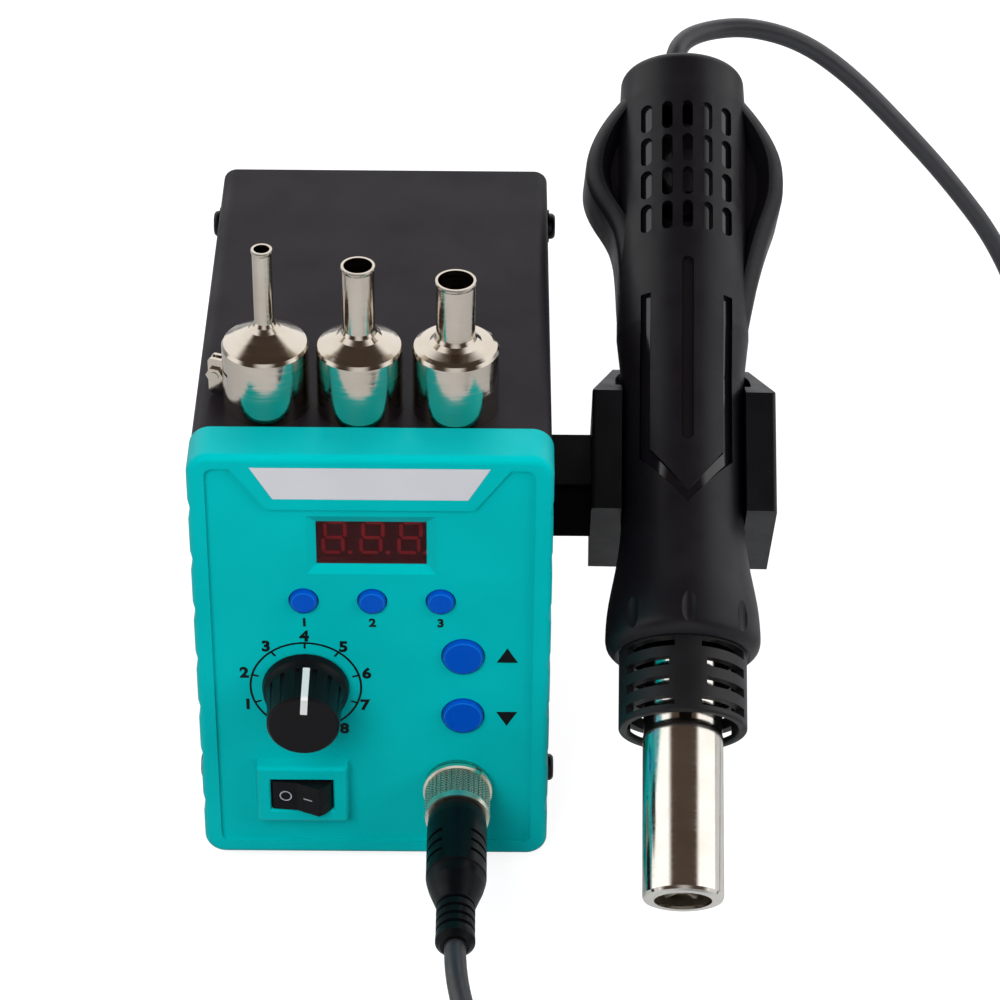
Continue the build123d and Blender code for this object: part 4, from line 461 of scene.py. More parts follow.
@dataclass(frozen=True)
class RecessedPlastic(MouldedPlastic):
    """Grained plastic of the turned grip, the floors of its recesses polished in the mould."""

    grip_mm: float = 18.9
    waist_mm: float = 17.1
    # along the axis from the tube's mouth: end of the flare, waist, end of the upper taper, tail
    stations_mm: tuple[float, ...] = (94.0, 114.0, 150.0, 166.0, 240.0)
    mount_mm: float = 23.6
    depth_mm: float = 1.0
    polish: float = 0.13
    polish_gleam: float = 0.65

    def detail(self, skin: Skin) -> None:
        """Add the grain, then polish what lies deeper than the grip's skin."""
        super().detail(skin)
        mount = next(m for m in frame["record"]["mounts"] if m["name"] == "heater_tube")
        axis = -Vector(mount["axis"])
        mouth = Vector(mount["pos_m"]) - axis * self.mount_mm * MM
        coords = skin.place(centre=tuple(mouth))
        along = skin.vectors("DOT_PRODUCT", coords, axis)["Value"]
        across = skin.vectors("CROSS_PRODUCT", coords, axis)[0]
        radius = skin.vectors("LENGTH", across)["Value"]
        flare, low, high, end, tail = (s * MM for s in self.stations_mm)
        slim, wide = self.waist_mm * MM, self.grip_mm * MM
        grip = skin.maths("MAXIMUM", skin.spread(along, wide, slim, flare, low),
                          skin.spread(along, slim, wide, high, end))
        under = skin.maths("GREATER_THAN", skin.maths("SUBTRACT", grip, radius),
                           self.depth_mm * MM)
        deep = skin.maths("MULTIPLY", under, skin.maths("LESS_THAN", along, tail))
        grained = skin.shader.inputs["Roughness"].links[0].from_socket
        grain = skin.shader.inputs["Normal"].links[0].from_node
        skin.feed(skin.shader, {
            "Roughness": skin.add("Mix", {0: deep, 2: grained, 3: self.polish}),
            "Specular IOR Level": skin.spread(deep, self.gleam, self.polish_gleam, 0.0, 1.0)})
        skin.feed(grain, {"Strength": skin.maths("SUBTRACT", 1.0, deep)})


@dataclass(frozen=True, kw_only=True)
class RoundedCap(MouldedPlastic):
    """Polished push button cap whose face rounds over at the rim, with a lighter blue ring painted
    inside the rim as a highlight.
    """

    node: str
    flange_mm: float = 1.1
    # lighter blue of the ring inside the rim: a painted highlight
    rim: str = "#0f68d0"
    rim_mm: float = 0.8
    fall_mm: float = 0.5

    def detail(self, skin: Skin) -> None:
        """Round the rim over about the cap's own axis, which runs along Y, and paint a lighter blue
        ring inside the rim as a highlight.
        """
        super().detail(skin)
        low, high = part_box(self.node)
        edge = (high.x - low.x) / 2 - self.flange_mm * MM
        start = edge - self.rim_mm * MM
        axes = skin.axes_about(self.node)
        flat = skin.add("CombineXYZ", {0: axes["X"], 2: axes["Z"]})
        radius = skin.vectors("LENGTH", flat)["Value"]
        skin.bump(skin.spread(radius, 1.0, 0.0, start, edge), self.fall_mm)
        # a ring inside the rim gets the lighter blue: a painted highlight
        painted_highlight_ring = skin.maths("MULTIPLY", skin.maths("GREATER_THAN", radius, start),
                          skin.maths("LESS_THAN", radius, (start + edge) / 2))
        skin.mottle(painted_highlight_ring, self.rim)


@dataclass(frozen=True)
class KnurledPlate(PlatedMetal):
    """Nickel plate over a ring with a crossed diagonal knurl between two smooth lips, its grooves
    painted darker as shade.
    """

    teeth: int = 60
    slope: float = 1.0
    depth_mm: float = 0.16
    lip_mm: float = 2.0
    groove: float = 0.3
    # darker colour of the knurl's grooves: painted shade
    shade: str = "#45463c"
    dulled: float = 0.16

    def detail(self, skin: Skin) -> None:
        """Cut the knurl round the ring's axis, which runs along Y, and paint its grooves darker as
        shade.
        """
        super().detail(skin)
        low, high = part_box("coupling_ring")
        radius = (high.x - low.x) / 2
        axes = skin.axes_about("coupling_ring")
        around = skin.maths("ARCTAN2", axes["X"], axes["Z"])
        turn = skin.maths("MULTIPLY", around, float(self.teeth))
        run = skin.maths("MULTIPLY", axes["Y"], self.teeth * self.slope / radius)
        crossed = []
        for kind in ("ADD", "SUBTRACT"):
            wave = skin.maths("SINE", skin.maths("MULTIPLY", skin.maths(kind, turn, run), 0.5))
            crossed.append(skin.maths("ABSOLUTE", wave))
        height = skin.maths("MINIMUM", *crossed)
        reach = (high.y - low.y) / 2 - self.lip_mm * MM
        inside = skin.maths("LESS_THAN", skin.maths("ABSOLUTE", axes["Y"]), reach)
        skin.bump(skin.maths("MULTIPLY", height, inside), self.depth_mm)
        # the grooves get the darker colour: painted shade in the knurl
        painted_groove_shade = skin.maths("MULTIPLY", skin.maths("LESS_THAN", height, self.groove), inside)
        skin.mottle(painted_groove_shade, self.shade)
        skin.dull(inside, 0.0, self.dulled, 0.0, 1.0)


HEATER_TURN: Point = (math.radians(59), 0.0, 0.0)

# satin powder coat on sheet: dull black with a low orange peel, greyer where it mirrors
POWDER_BLACK = PowderCoat("satin_black_powder_coat", "#1d191e", 0.42, gleam=0.1)
# moulded ABS in body colour: deep turquoise, its satin gloss kept in the same hue
TURQUOISE_ABS = MouldedPlastic("turquoise_moulded_abs", "#00bcbd", 0.44, "#00b4b5", 0.5,
    gleam=0.4, gleam_tint="#04dcd8")
# spark eroded ABS: black that swallows light, with a soft sheen along its edges
HANDLE_ABS = RecessedPlastic("black_grained_abs", "#0e0c10", 0.42, "#121014", 0.45, 0.016,
    gleam=0.3)
# smoother ABS: a shade deeper, with a clearer sheen on flat faces
HOLDER_ABS = MouldedPlastic("black_smooth_abs", "#0a0a0c", 0.34, "#0f0f12", 0.8, 0.01, 0.06,
    gleam=0.3)
# the case's coat on the arm, in the shade: painted near black as shade, a darker copy of the case's
# coat
ARM_COAT = PowderCoat("arm_coat_painted_shade", "#010102", 0.5, gleam=0.04)
# glass filled nylon: its fibres give a dry grain
CAGE_POLYMER = MouldedPlastic("black_glass_filled_nylon", "#0f0f11", 0.44, "#151517", 0.3, 0.02,
    0.06, gleam=0.35)
# plain nylon: dark and quiet behind the openings; the blower motor wears it too, painted black as
# shade behind the vents
NYLON = MouldedPlastic("black_nylon", "#0b0b0d", 0.4, "#101012", 0.6, 0.01, gleam=0.3)
# polished polycarbonate: the rocker that fingers keep shiny
ROCKER_PC = MouldedPlastic("black_polished_polycarbonate", "#0a0a0c", 0.28, "#0e0e11", 1.2,
    0.006, 0.04, gleam=0.12)
# phenolic: dense, hard and almost without a highlight
KNOB_PHENOLIC = MouldedPlastic("black_phenolic", "#0d0c0e", 0.38, "#121114", 0.5, gleam=0.14)
# dyed ABS caps: saturated blue whose rounded rims catch the wall in the same hue, with a lighter
# blue highlight ring painted inside each rim
BUTTONS = tuple(
    RoundedCap(f"blue_polished_abs_{node}", "#0050c0", 0.28, "#004cb8", 1.5, 0.006, 0.04,
               gleam=0.45, gleam_tint="#3f9cff", node=node)
    for node in (*(f"preset_button_{i}" for i in (1, 2, 3)), "up_button", "down_button"))
# paint filled into the knob's groove: matt white
POINTER_PAINT = MouldedPlastic("white_filled_paint", "#e6e6e4", 0.5, "#d8d8d4", 0.3, 0.01)
# vinyl label: cool white with a low satin shine
PLATE_VINYL = MouldedPlastic("white_satin_vinyl", "#d6d6da", 0.35, "#cdcdd2", 1.5, 0.005)
# nickelled steel, spun: mirror bright with rings from the tool
NOZZLE_STEEL = DrawnSteel("polished_nozzle_steel", "#c9c0b4", 0.13, "#a99880", band_mm=0.88,
    ring_mm=0.02)
# the tube's steel: brighter, straw from heat in patches
HEATER_STEEL = DrawnSteel("polished_heater_steel", "#ebe6de", 0.12, "#c4b49c", HEATER_TURN)
# nickel over turned brass: warm grey, bright on the lips and dull in the knurl, whose grooves are
# painted darker as shade
NICKEL = PlatedMetal("nickel_plated_brass", "#cfcabd", 0.22)
KNURL = KnurledPlate("knurled_nickel_plate", "#f4ead8", 0.34)
# zinc on small hardware: cold grey, or passivated black
ZINC = PlatedMetal("zinc_plated_steel", "#a9aaa8", 0.32, "#7d7f80")
DARK_ZINC = PlatedMetal("black_zinc_steel", "#2c2c2e", 0.38, "#1f1f21")
# silicone jacket: soft black with a pale dust
CORD_SKIN = Rubber("black_silicone_jacket", "#26262a", 0.38, "#34343a", 1.0, gleam=0.6)
# solid rubber: matt, with no highlight
FOOT_RUBBER = Rubber("black_foot_rubber", "#161617", 0.7)
# soft vinyl boot: the deepest black on the station
BOOT_RUBBER = Rubber("black_boot_vinyl", "#060709", 0.36, "#0b0c0e", 1.2, gleam=0.15)
# solder mask over glass epoxy: wet looking green
BOARD = CircuitBoard("green_circuit_board", "#0d5a2b", 0.4)
# mica and ceramic former: white when new, browned in patches by heat
CERAMIC = FiredCeramic("browned_ceramic", "#e4dac6", 0.6)
# heater alloy after its first heat: dull brown grey
WIRE = PlatedMetal("oxidised_heater_wire", "#8a7c6e", 0.4, "#5c5047")
# varnished laminations: dark grey with fine lines
CORE_STEEL = StackedSteel("stacked_core_steel", "#4c4d50", 0.5)
# polyester tape: glossy amber
TAPE = MouldedPlastic("yellow_polyester_tape", "#c9a51c", 0.3, "#bd9a18", 2.0, 0.02)
# bare extrusion: pale, softly streaked grey
ALUMINIUM = PlatedMetal("extruded_aluminium", "#c9cbcc", 0.35, "#aeb0b2")
# dyed acrylic: lets only red back out, so the block behind looks like dark wine
FILTER = TintedAcrylic("red_tinted_acrylic", "#aa464f", 0.06, gleam=0.25)
# epoxy block, near black, and its milky unlit segments
DIGIT_BODY = MouldedPlastic("epoxy_digit_block", "#160b10", 0.4, "#180b10", 1.0, 0.004, gleam=0.2)
DIGIT_SEGMENT = MouldedPlastic("unlit_digit_segment", "#f0d4e0", 0.5, "#e8ccd8", 1.0, 0.004)
# pad printing inks: flat black on the panel, worn grey on the rocker
INK_BLACK = PrintedInk("black_pad_print", "#05090b", 0.55, gleam=0.15)
INK_GREY = PrintedInk("grey_pad_print", "#b4b4bc", 0.5, "#8a8b90")
# woven strap: matt black that holds dust
TIE_NYLON = Rubber("black_woven_tie", "#18181a", 0.75, "#28282a", 0.5)

DRESSED: dict[Finish, str] = {
    POWDER_BLACK: "case_cover base_pan",
    TURQUOISE_ABS: "front_bezel",
    PLATE_VINYL: "name_plate",
    FOOT_RUBBER: "rubber_feet",
    DARK_ZINC: "cover_screws handle_screws",
    ZINC: "board_standoffs board_screws inlet_screws pot_shaft pot_nut holder_magnet "
          "holder_screws",
    # the blower motor is dressed in black nylon as painted shade behind the vents
    NYLON: "mains_inlet tact_switches switch_housing blower_housing blower_impeller "
           "blower_motor",
    BOARD: "power_board control_board reed_board",
    ALUMINIUM: "triac_heatsink",
    CORE_STEEL: "transformer_core",
    TAPE: "transformer_winding",
    FILTER: "display_window",
    DIGIT_BODY: "display_module",
    **{cap: cap.node for cap in BUTTONS},
    KNOB_PHENOLIC: "airflow_knob",
    POINTER_PAINT: "knob_pointer",
    ROCKER_PC: "switch_rocker",
    NICKEL: "airflow_pot panel_socket socket_nut plug_shell",
    KNURL: "coupling_ring",
    BOOT_RUBBER: "plug_boot tail_gland",
    HANDLE_ABS: "handle_front_shell handle_rear_shell",
    CAGE_POLYMER: "vent_cage",
    HEATER_STEEL: "heater_tube",
    CERAMIC: "heater_core",
    WIRE: "heater_coil",
    HOLDER_ABS: "holder_cradle",
    ARM_COAT: "holder_arm",
    NOZZLE_STEEL: "nozzle_narrow nozzle_medium nozzle_wide nozzle_narrow_screw "
                  "nozzle_medium_screw nozzle_wide_screw",
}


# ---- modelling helpers


def added(step: Callable[..., Any], **options: Any) -> Piece:
    """Run an operator that adds or converts an object, and give the one it leaves active."""
    step(**options)
    return bpy.context.object


def linked(name: str, data: Any) -> Piece:
    """Put a curve, lamp or camera into the scene as an object."""
    piece = bpy.data.objects.new(name, data)
    bpy.context.scene.collection.objects.link(piece)
    return piece


def only(*pieces: Piece) -> None:
    """Select some objects and nothing else, the first one active."""
    bpy.ops.object.select_all(action="DESELECT")
    for piece in pieces:
        piece.select_set(True)
    bpy.context.view_layer.objects.active = pieces[0]


def freeze(**parts: bool) -> None:
    """Put only the named parts of the active object's place into its mesh."""
    chosen = {"location": False, "rotation": False, "scale": False, **parts}
    bpy.ops.object.transform_apply(**chosen)


def settle(piece: Piece, name: str, body: str, finish: Finish) -> Piece:
    """Put a finished piece's place into its mesh, dress it and let it ride on a body.

    Args:
        piece: The piece, anywhere.
        name: Its final name.
        body: The moving body it belongs to.
        finish: The finish of all its faces.

    Returns:
        The piece.
    """
    only(piece)
    freeze(location=True, rotation=True, scale=True)
    piece.name = name
    piece.data.name = name
    finish.dress(piece)
    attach(piece, body)
    log.info("%s rides on %s with %d faces", name, body, len(piece.data.polygons))
    return piece


def joined(pieces: Sequence[Piece]) -> Piece:
    """Join several mesh objects into the first one."""
    only(*pieces)
    bpy.ops.object.join()
    return pieces[0]


def modify(piece: Piece, name: str, kind: str, **settings: Any) -> None:
    """Put one modifier on the active piece and apply it.

    Args:
        piece: The piece.
        name: Name of the modifier.
        kind: Its Blender type.
        settings: Attributes to set on it.
    """
    modifier = piece.modifiers.new(name, kind)
    for setting, value in settings.items():
        setattr(modifier, setting, value)
    bpy.ops.object.modifier_apply(modifier=modifier.name)


def middle_of(node: str) -> Vector:
    """Middle of a node's box."""
    low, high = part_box(node)
    return (low + high) / 2


# ---- printed marks and digits


class Pointing(Enum):
    """Ways in which an arrow points, as its turn from upright in radians."""

    UP = 0.0
    DOWN = math.pi


@dataclass
class PanelPrint:
    """Ink on the flat of the front panel: the airflow scale, button numbers and arrows."""

    ink_mm: float = 0.06
    bold: float = 0.07
    capital_share: float = 0.7
    scale_radius_mm: float = 15.2
    scale_steps: int = 64
    line_mm: float = 0.6
    tick_mm: float = 1.9
    number_radius_mm: float = 17.4
    number_height_mm: float = 3.4
    first_deg: float = -112.0
    step_deg: float = 37.33
    numbers: int = 8
    tail_deg: float = 26.0
    last_shift_mm: float = 1.5
    arrow_mm: Pair = (5.85, 5.05)
    arrow_aside_mm: float = 12.1
    arrow_rise_mm: Pair = (-0.5, -0.4)
    button_number_mm: Pair = (7.6, 2.6)

    @property
    def face_y(self) -> float:
        """Where the flat of the panel lies, under the knob's nut."""
        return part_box("pot_nut")[1].y

    def text(self, body: str, x: float, z: float, height_mm: float) -> Piece:
        """Print one short mark centred on a point of the panel.

        Args:
            body: The characters.
            x: Place across.
            z: Place up.
            height_mm: Height of a capital.

        Returns:
            The mark as a mesh.
        """
        mark = added(bpy.ops.object.text_add, location=(x, self.face_y, z),
                     rotation=FACING_FRONT)
        mark.data.body = body
        mark.data.align_x = mark.data.align_y = "CENTER"
        mark.data.size = height_mm * MM / self.capital_share
        mark.data.offset = self.bold * height_mm * MM
        mark.data.extrude = self.ink_mm * MM / 2
        mark.data.resolution_u = 4
        return added(bpy.ops.object.convert, target="MESH")

    def scale_line(self, middle: Vector) -> Piece:
        """Print the scale's bent line, by spinning a short edge about the knob's axis."""
        start = self.first_deg - self.tail_deg
        end = self.first_deg + (self.numbers - 1) * self.step_deg
        away = Matrix.Rotation(math.radians(start), 3, "Y") @ Vector((0, 0, 1))
        centre = Vector((middle.x, self.face_y - self.ink_mm * MM / 2, middle.z))
        line = added(bpy.ops.mesh.primitive_plane_add, size=1, location=centre)
        bpy.ops.object.mode_set(mode="EDIT")
        mesh = bmesh.from_edit_mesh(line.data)
        bmesh.ops.delete(mesh, geom=list(mesh.verts)[2:], context="VERTS")
        half = self.line_mm / 2
        for vertex, reach in zip(mesh.verts, (-half, half)):
            vertex.co = away * (self.scale_radius_mm + reach) * MM
            vertex.select = True
        mesh.select_mode = {"EDGE"}
        for edge in mesh.edges:
            edge.select = True
        bmesh.update_edit_mesh(line.data)
        bpy.ops.mesh.spin(steps=self.scale_steps, angle=math.radians(start - end), center=centre,
                          axis=(0, 1, 0))
        bpy.ops.object.mode_set(mode="OBJECT")
        modify(line, "ink", "SOLIDIFY", thickness=self.ink_mm * MM, offset=0)
        return line

    def tick(self, middle: Vector, turn: float) -> Piece:
        """Print one short radial line of the scale.

        Args:
            middle: Middle of the scale.
            turn: Angle from the top, clockwise, in radians.

        Returns:
            The line.
        """
        reach = (self.scale_radius_mm - self.tick_mm / 2) * MM
        place_at = (middle.x + reach * math.sin(turn), self.face_y,
                    middle.z + reach * math.cos(turn))
        mark = added(bpy.ops.mesh.primitive_cube_add, size=1, location=place_at,
                     rotation=(0, turn, 0))
        mark.scale = (self.line_mm * MM, self.ink_mm * MM, self.tick_mm * MM)
        return mark

    def arrow(self, x: float, z: float, pointing: Pointing) -> Piece:
        """Print a filled triangle.

        Args:
            x: Place across.
            z: Place up.
            pointing: Which way it points.

        Returns:
            The triangle.
        """
        wide, tall = self.arrow_mm
        mark = added(
            bpy.ops.mesh.primitive_cylinder_add, vertices=3, radius=wide * MM / math.sqrt(3),
            depth=self.ink_mm * MM, location=(x, self.face_y, z),
            rotation=(FACING_FRONT[0], pointing.value, 0))
        mark.scale.y = tall / (wide * math.sqrt(3) / 2)
        return mark

    def build(self) -> None:
        """Make every mark of the panel and let it ride on the case."""
        middle = middle_of("airflow_knob")
        marks = [self.scale_line(middle)]
        for i in range(self.numbers):
            turn = math.radians(self.first_deg + i * self.step_deg)
            marks.append(self.tick(middle, turn))
            aside = self.last_shift_mm if i == self.numbers - 1 else 0.0
            x = middle.x + (aside + self.number_radius_mm * math.sin(turn)) * MM
            z = middle.z + self.number_radius_mm * MM * math.cos(turn)
            marks.append(self.text(str(i + 1), x, z, self.number_height_mm))
        down, tall = self.button_number_mm
        for i in (1, 2, 3):
            button = middle_of(f"preset_button_{i}")
            marks.append(self.text(str(i), button.x, button.z - down * MM, tall))
        for pointing, rise in zip(Pointing, self.arrow_rise_mm):
            button = middle_of(f"{pointing.name.lower()}_button")
            x, z = button.x + self.arrow_aside_mm * MM, button.z + rise * MM
            marks.append(self.arrow(x, z, pointing))
        settle(joined(marks), "panel_print", "station", INK_BLACK)


@dataclass
class RockerMarks:
    """The ring and the bar printed on the two faces of the power switch's rocker."""

    tilt_deg: float = 14.8
    valley_mm: float = 5.57
    end_x_mm: float = 6.72
    end_depth_mm: float = 6.66
    ring_mm: float = 3.5
    stroke_mm: float = 0.33
    bar_mm: Pair = (2.7, 0.35)
    bar_edge_mm: float = 0.02
    ring_share: float = 0.47
    bar_share: float = 0.49
    proud_mm: float = 0.03

    def spot(self, side: int, share: float) -> Matrix:
        """Find a place on one face of the rocker.

        Args:
            side: -1 for the left face, 1 for the right.
            share: Distance from the valley towards the end, 0 to 1.

        Returns:
            A frame whose X runs along the face, whose Y points into it and whose Z is up.
        """
        joints = frame["record"]["behaviour"]["joints"]
        pivot = next(joint for joint in joints if joint["name"] == "rocker_tilt")["pos_m"]
        valley = Vector((0.0, -self.valley_mm, 0.0)) * MM
        end = Vector((side * self.end_x_mm, -self.end_depth_mm, 0.0)) * MM
        along = (end - valley).normalized() * side
        inward = Vector((0.0, 0.0, 1.0)).cross(along)
        axes = Matrix((along, inward, (0.0, 0.0, 1.0))).transposed().to_4x4()
        tilt = Matrix.Rotation(-math.radians(self.tilt_deg), 4, "Z")
        return (Matrix.Translation(pivot) @ tilt
                @ Matrix.Translation(valley.lerp(end, share)) @ axes)

    def build(self) -> None:
        """Lay the two marks on the rocker's faces."""
        ring = added(
            bpy.ops.mesh.primitive_torus_add, rotation=FACING_FRONT,
            major_radius=(self.ring_mm - self.stroke_mm) / 2 * MM,
            minor_radius=self.stroke_mm / 2 * MM, major_segments=56, minor_segments=8)
        freeze(rotation=True)
        ring.scale.y = 2 * self.proud_mm / self.stroke_mm
        freeze(scale=True)
        ring.data.transform(self.spot(-1, self.ring_share))
        bar = added(bpy.ops.mesh.primitive_cube_add, size=1)
        bar.scale = (self.bar_mm[0] * MM, 2 * self.proud_mm * MM, self.bar_mm[1] * MM)
        freeze(scale=True)
        modify(bar, "soft_edge", "BEVEL", width=self.bar_edge_mm * MM)
        bar.data.transform(self.spot(1, self.bar_share))
        settle(joined([ring, bar]), "rocker_marks", "rocker", INK_GREY)


@dataclass
class DigitDisplay:
    """Three unlit seven segment digits behind the red window."""

    digits: int = 3
    pitch_mm: float = 10.15
    offset_mm: float = 0.1
    rise_mm: float = 0.4
    height_mm: float = 10.8
    width_mm: float = 6.2
    stroke_mm: float = 0.95
    # how much shorter level and upright bars are than their spaces
    short_mm: Pair = (1.5, 0.4)
    dot_mm: float = 0.65
    dot_aside_mm: float = 1.6
    slant: float = 0.12
    thick_mm: float = 0.08
    clear_mm: float = 0.02
    blank_mm: float = 0.5

    def segment(self, x: float, z: float, length_mm: float, upright: bool) -> Piece:
        """Make one six sided bar of a digit, leaning with the digit.

        Args:
            x: Place across from the middle of the display.
            z: Place up from it.
            length_mm: Length of the bar from tip to tip.
            upright: Whether the bar stands up or lies level.

        Returns:
            The bar.
        """
        bar = added(bpy.ops.mesh.primitive_cylinder_add, vertices=6, radius=self.blank_mm * MM,
                    depth=self.thick_mm * MM, location=(0, 0, 0), rotation=FACING_FRONT)
        freeze(rotation=True)
        long_half, wide_half = length_mm / 2 * MM, self.stroke_mm / 2 * MM
        for vertex in bar.data.vertices:
            tip = abs(vertex.co.z) > 0.9 * self.blank_mm * MM
            vertex.co.z = math.copysign(long_half if tip else long_half - wide_half, vertex.co.z)
            vertex.co.x = 0.0 if tip else math.copysign(wide_half, vertex.co.x)
        if not upright:
            bar.data.transform(Matrix.Rotation(math.radians(90), 4, "Y"))
        bar.data.transform(Matrix.Translation((x + self.slant * z, 0, z)))
        return bar

    def build(self) -> None:
        """Make all segments and the points, set on the digit block's front."""
        low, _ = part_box("display_module")
        middle = middle_of("display_module")
        front = low.y - (self.thick_mm / 2 + self.clear_mm) * MM
        half_h, half_w = (self.height_mm - self.stroke_mm) / 2, (self.width_mm - self.stroke_mm) / 2
        level_short, upright_short = self.short_mm
        bars: list[Piece] = []
        for i in range(self.digits):
            x = ((i - (self.digits - 1) / 2) * self.pitch_mm + self.offset_mm) * MM
            for z in (-half_h, 0.0, half_h):
                bars.append(self.segment(x, z * MM, self.width_mm - level_short, False))
            for side in (-half_w, half_w):
                for z in (-half_h / 2, half_h / 2):
                    bars.append(self.segment(x + side * MM, z * MM, half_h - upright_short, True))
            place_at = (x + (half_w + self.dot_aside_mm) * MM, 0, -half_h * MM)
            bars.append(added(
                bpy.ops.mesh.primitive_cylinder_add, vertices=20, radius=self.dot_mm * MM,
                depth=self.thick_mm * MM, location=place_at, rotation=FACING_FRONT))
            freeze(location=True, rotation=True, scale=True)
        digits = joined(bars)
        digits.data.transform(Matrix.Translation((middle.x, front, middle.z + self.rise_mm * MM)))
        settle(digits, "display_segments", "station", DIGIT_SEGMENT)


# ---- cord


@dataclass
class HandpieceCord:
    """The cord from the handpiece's tail, coiled on the table and on to the plug."""

    diameter_mm: float = 5.9
    coil_centre: Pair = (0.07891, -0.1733)
    coil_radius_mm: float = 35.0
    turns: float = 2.25
    lay_mm: float = 6.0
    points_per_turn: int = 14
    tie_deg: float = -180.0
    tie_length_mm: float = 9.0
    # what the strap's loop leaves free round the turns, across and up
    tie_slack_mm: Pair = (0.5, 0.8)
    tie_corner_mm: float = 2.4
    tie_thick_mm: float = 0.9
    tie_edge_mm: float = 0.2
    foot_z: float = 0.06
    # control points from the gland down to the table and along it to the coil
    from_handpiece: tuple[Point, ...] = (
        (0.05246, 0.11308, 0.15879), (0.0526, 0.12096, 0.16353), (0.05611, 0.1309, 0.1653),
        (0.06521, 0.1383, 0.1648), (0.07761, 0.1422, 0.1636), (0.09351, 0.1432, 0.1582),
        (0.10881, 0.1432, 0.1466), (0.12551, 0.1437, 0.1288), (0.14291, 0.1447, 0.1086),
        (0.16091, 0.1457, 0.084), (0.17391, 0.1427, 0.054), (0.18391, 0.1307, 0.029),
        (0.18791, 0.1097, 0.011), (0.18691, 0.0827, 0.00295), (0.17991, 0.0377, 0.00295),
        (0.17291, -0.0123, 0.00295), (0.16691, -0.0573, 0.00295), (0.15891, -0.0973, 0.00295),
        (0.14291, -0.1273, 0.00295), (0.12491, -0.1493, 0.00295),
    )
    # control points from the top of the coil up to the plug's boot
    to_plug: tuple[Point, ...] = (
        (0.04011, -0.2083, 0.01745), (0.01411, -0.1839, 0.021), (-0.00289, -0.1589, 0.025),
        (-0.00989, -0.1359, 0.029), (-0.00989, -0.1219, 0.029),
    )

    def round_coil(self, turn: float, radius: float, lays: float) -> Point:
        """Find a point of the coil.

        Args:
            turn: Angle about the coil's middle, in radians.
            radius: Distance from the middle in metres.
            lays: Number of turns that lie below.

        Returns:
            The point.
        """
        x, y = self.coil_centre
        rise = (self.diameter_mm / 2 + self.lay_mm * lays) * MM
        return x + radius * math.cos(turn), y + radius * math.sin(turn), rise

    def coil_points(self) -> list[Point]:
        """Work out the coil's control points, clockwise from above and rising each turn."""
        step = 2 * math.pi / self.points_per_turn
        # a quadratic spline runs inside its control points by this share
        reach = self.coil_radius_mm * MM / math.cos(step / 2)
        count = round(self.turns * self.points_per_turn)
        wound = (self.turns * i / count for i in range(count + 1))
        return [self.round_coil(-2 * math.pi * turns, reach, turns) for turns in wound]

    def line(self) -> Piece:
        """Draw the cord's centreline as one spline."""
        points = [*self.from_handpiece, *self.coil_points(), *self.to_plug]
        curve = bpy.data.curves.new("handpiece_cord", "CURVE")
        curve.dimensions = "3D"
        curve.resolution_u = 10
        spline = curve.splines.new("NURBS")
        spline.points.add(len(points) - 1)
        for point, co in zip(spline.points, points):
            point.co = (*co, 1.0)
        spline.order_u = 3
        spline.use_endpoint_u = True
        return linked("handpiece_cord", curve)

    def followed(self, line: Piece) -> list[Point]:
        """Read the points of the line before it gets its thickness."""
        bpy.context.view_layer.update()
        drawn = bpy.data.meshes.new_from_object(line)
        points = [tuple(v.co) for v in drawn.vertices]
        bpy.data.meshes.remove(drawn)
        return points

    def tie(self) -> Piece:
        """Make the hook and loop strap that holds the coil's turns together."""
        turn = math.radians(self.tie_deg)
        middle = self.round_coil(turn, self.coil_radius_mm * MM, 1)
        strap = added(
            bpy.ops.mesh.primitive_cube_add, size=1, location=middle, rotation=(0, 0, turn))
        across, up = self.tie_slack_mm
        strap.scale = ((self.diameter_mm + across) * MM, self.tie_length_mm * MM,
                       (2 * self.diameter_mm + up) * MM)
        freeze(scale=True)
        bpy.ops.object.mode_set(mode="EDIT")
        mesh = bmesh.from_edit_mesh(strap.data)
        ends = [face for face in mesh.faces if abs(face.normal.y) > 0.9]
        bmesh.ops.delete(mesh, geom=ends, context="FACES_ONLY")
        bmesh.update_edit_mesh(strap.data)
        bpy.ops.object.mode_set(mode="OBJECT")
        modify(strap, "corners", "BEVEL", width=self.tie_corner_mm * MM, segments=5,
               limit_method="ANGLE")
        modify(strap, "webbing", "SOLIDIFY", thickness=self.tie_thick_mm * MM, offset=1)
        modify(strap, "soft_edge", "BEVEL", width=self.tie_edge_mm * MM, segments=2,
               limit_method="ANGLE", angle_limit=math.radians(60))
        return settle(strap, "cord_tie", "station", TIE_NYLON)

    def build(self) -> None:
        line = self.line()
        path = self.followed(line)
        line.data.bevel_depth = self.diameter_mm / 2 * MM
        line.data.bevel_resolution = 7
        line.data.use_fill_caps = True
        only(line)
        tube = added(bpy.ops.object.convert, target="MESH")
        tube.name = "handpiece_cord"
        bpy.ops.object.shade_smooth()
        CORD_SKIN.dress(tube)
        tie = self.tie()
        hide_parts("cord_handle_run", "cord_coil", "cord_plug_run")
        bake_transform(tube)


# ---- stage


@dataclass(frozen=True)
class SoftLamp:
    """A square lamp that shiny things don't mirror."""

    name: str
    at: Point
    toward: Point
    size: float
    watts: float

    def hang(self) -> None:
        """Put the lamp into the scene."""
        data = bpy.data.lights.new(self.name, "AREA")
        data.shape = "SQUARE"
        data.size = self.size
        data.energy = self.watts
        lamp = linked(self.name, data)
        lamp.location = self.at
        lamp.visible_glossy = False
        ahead = Vector(self.toward) - Vector(self.at)
        lamp.rotation_euler = ahead.to_track_quat("-Z", "Y").to_euler()


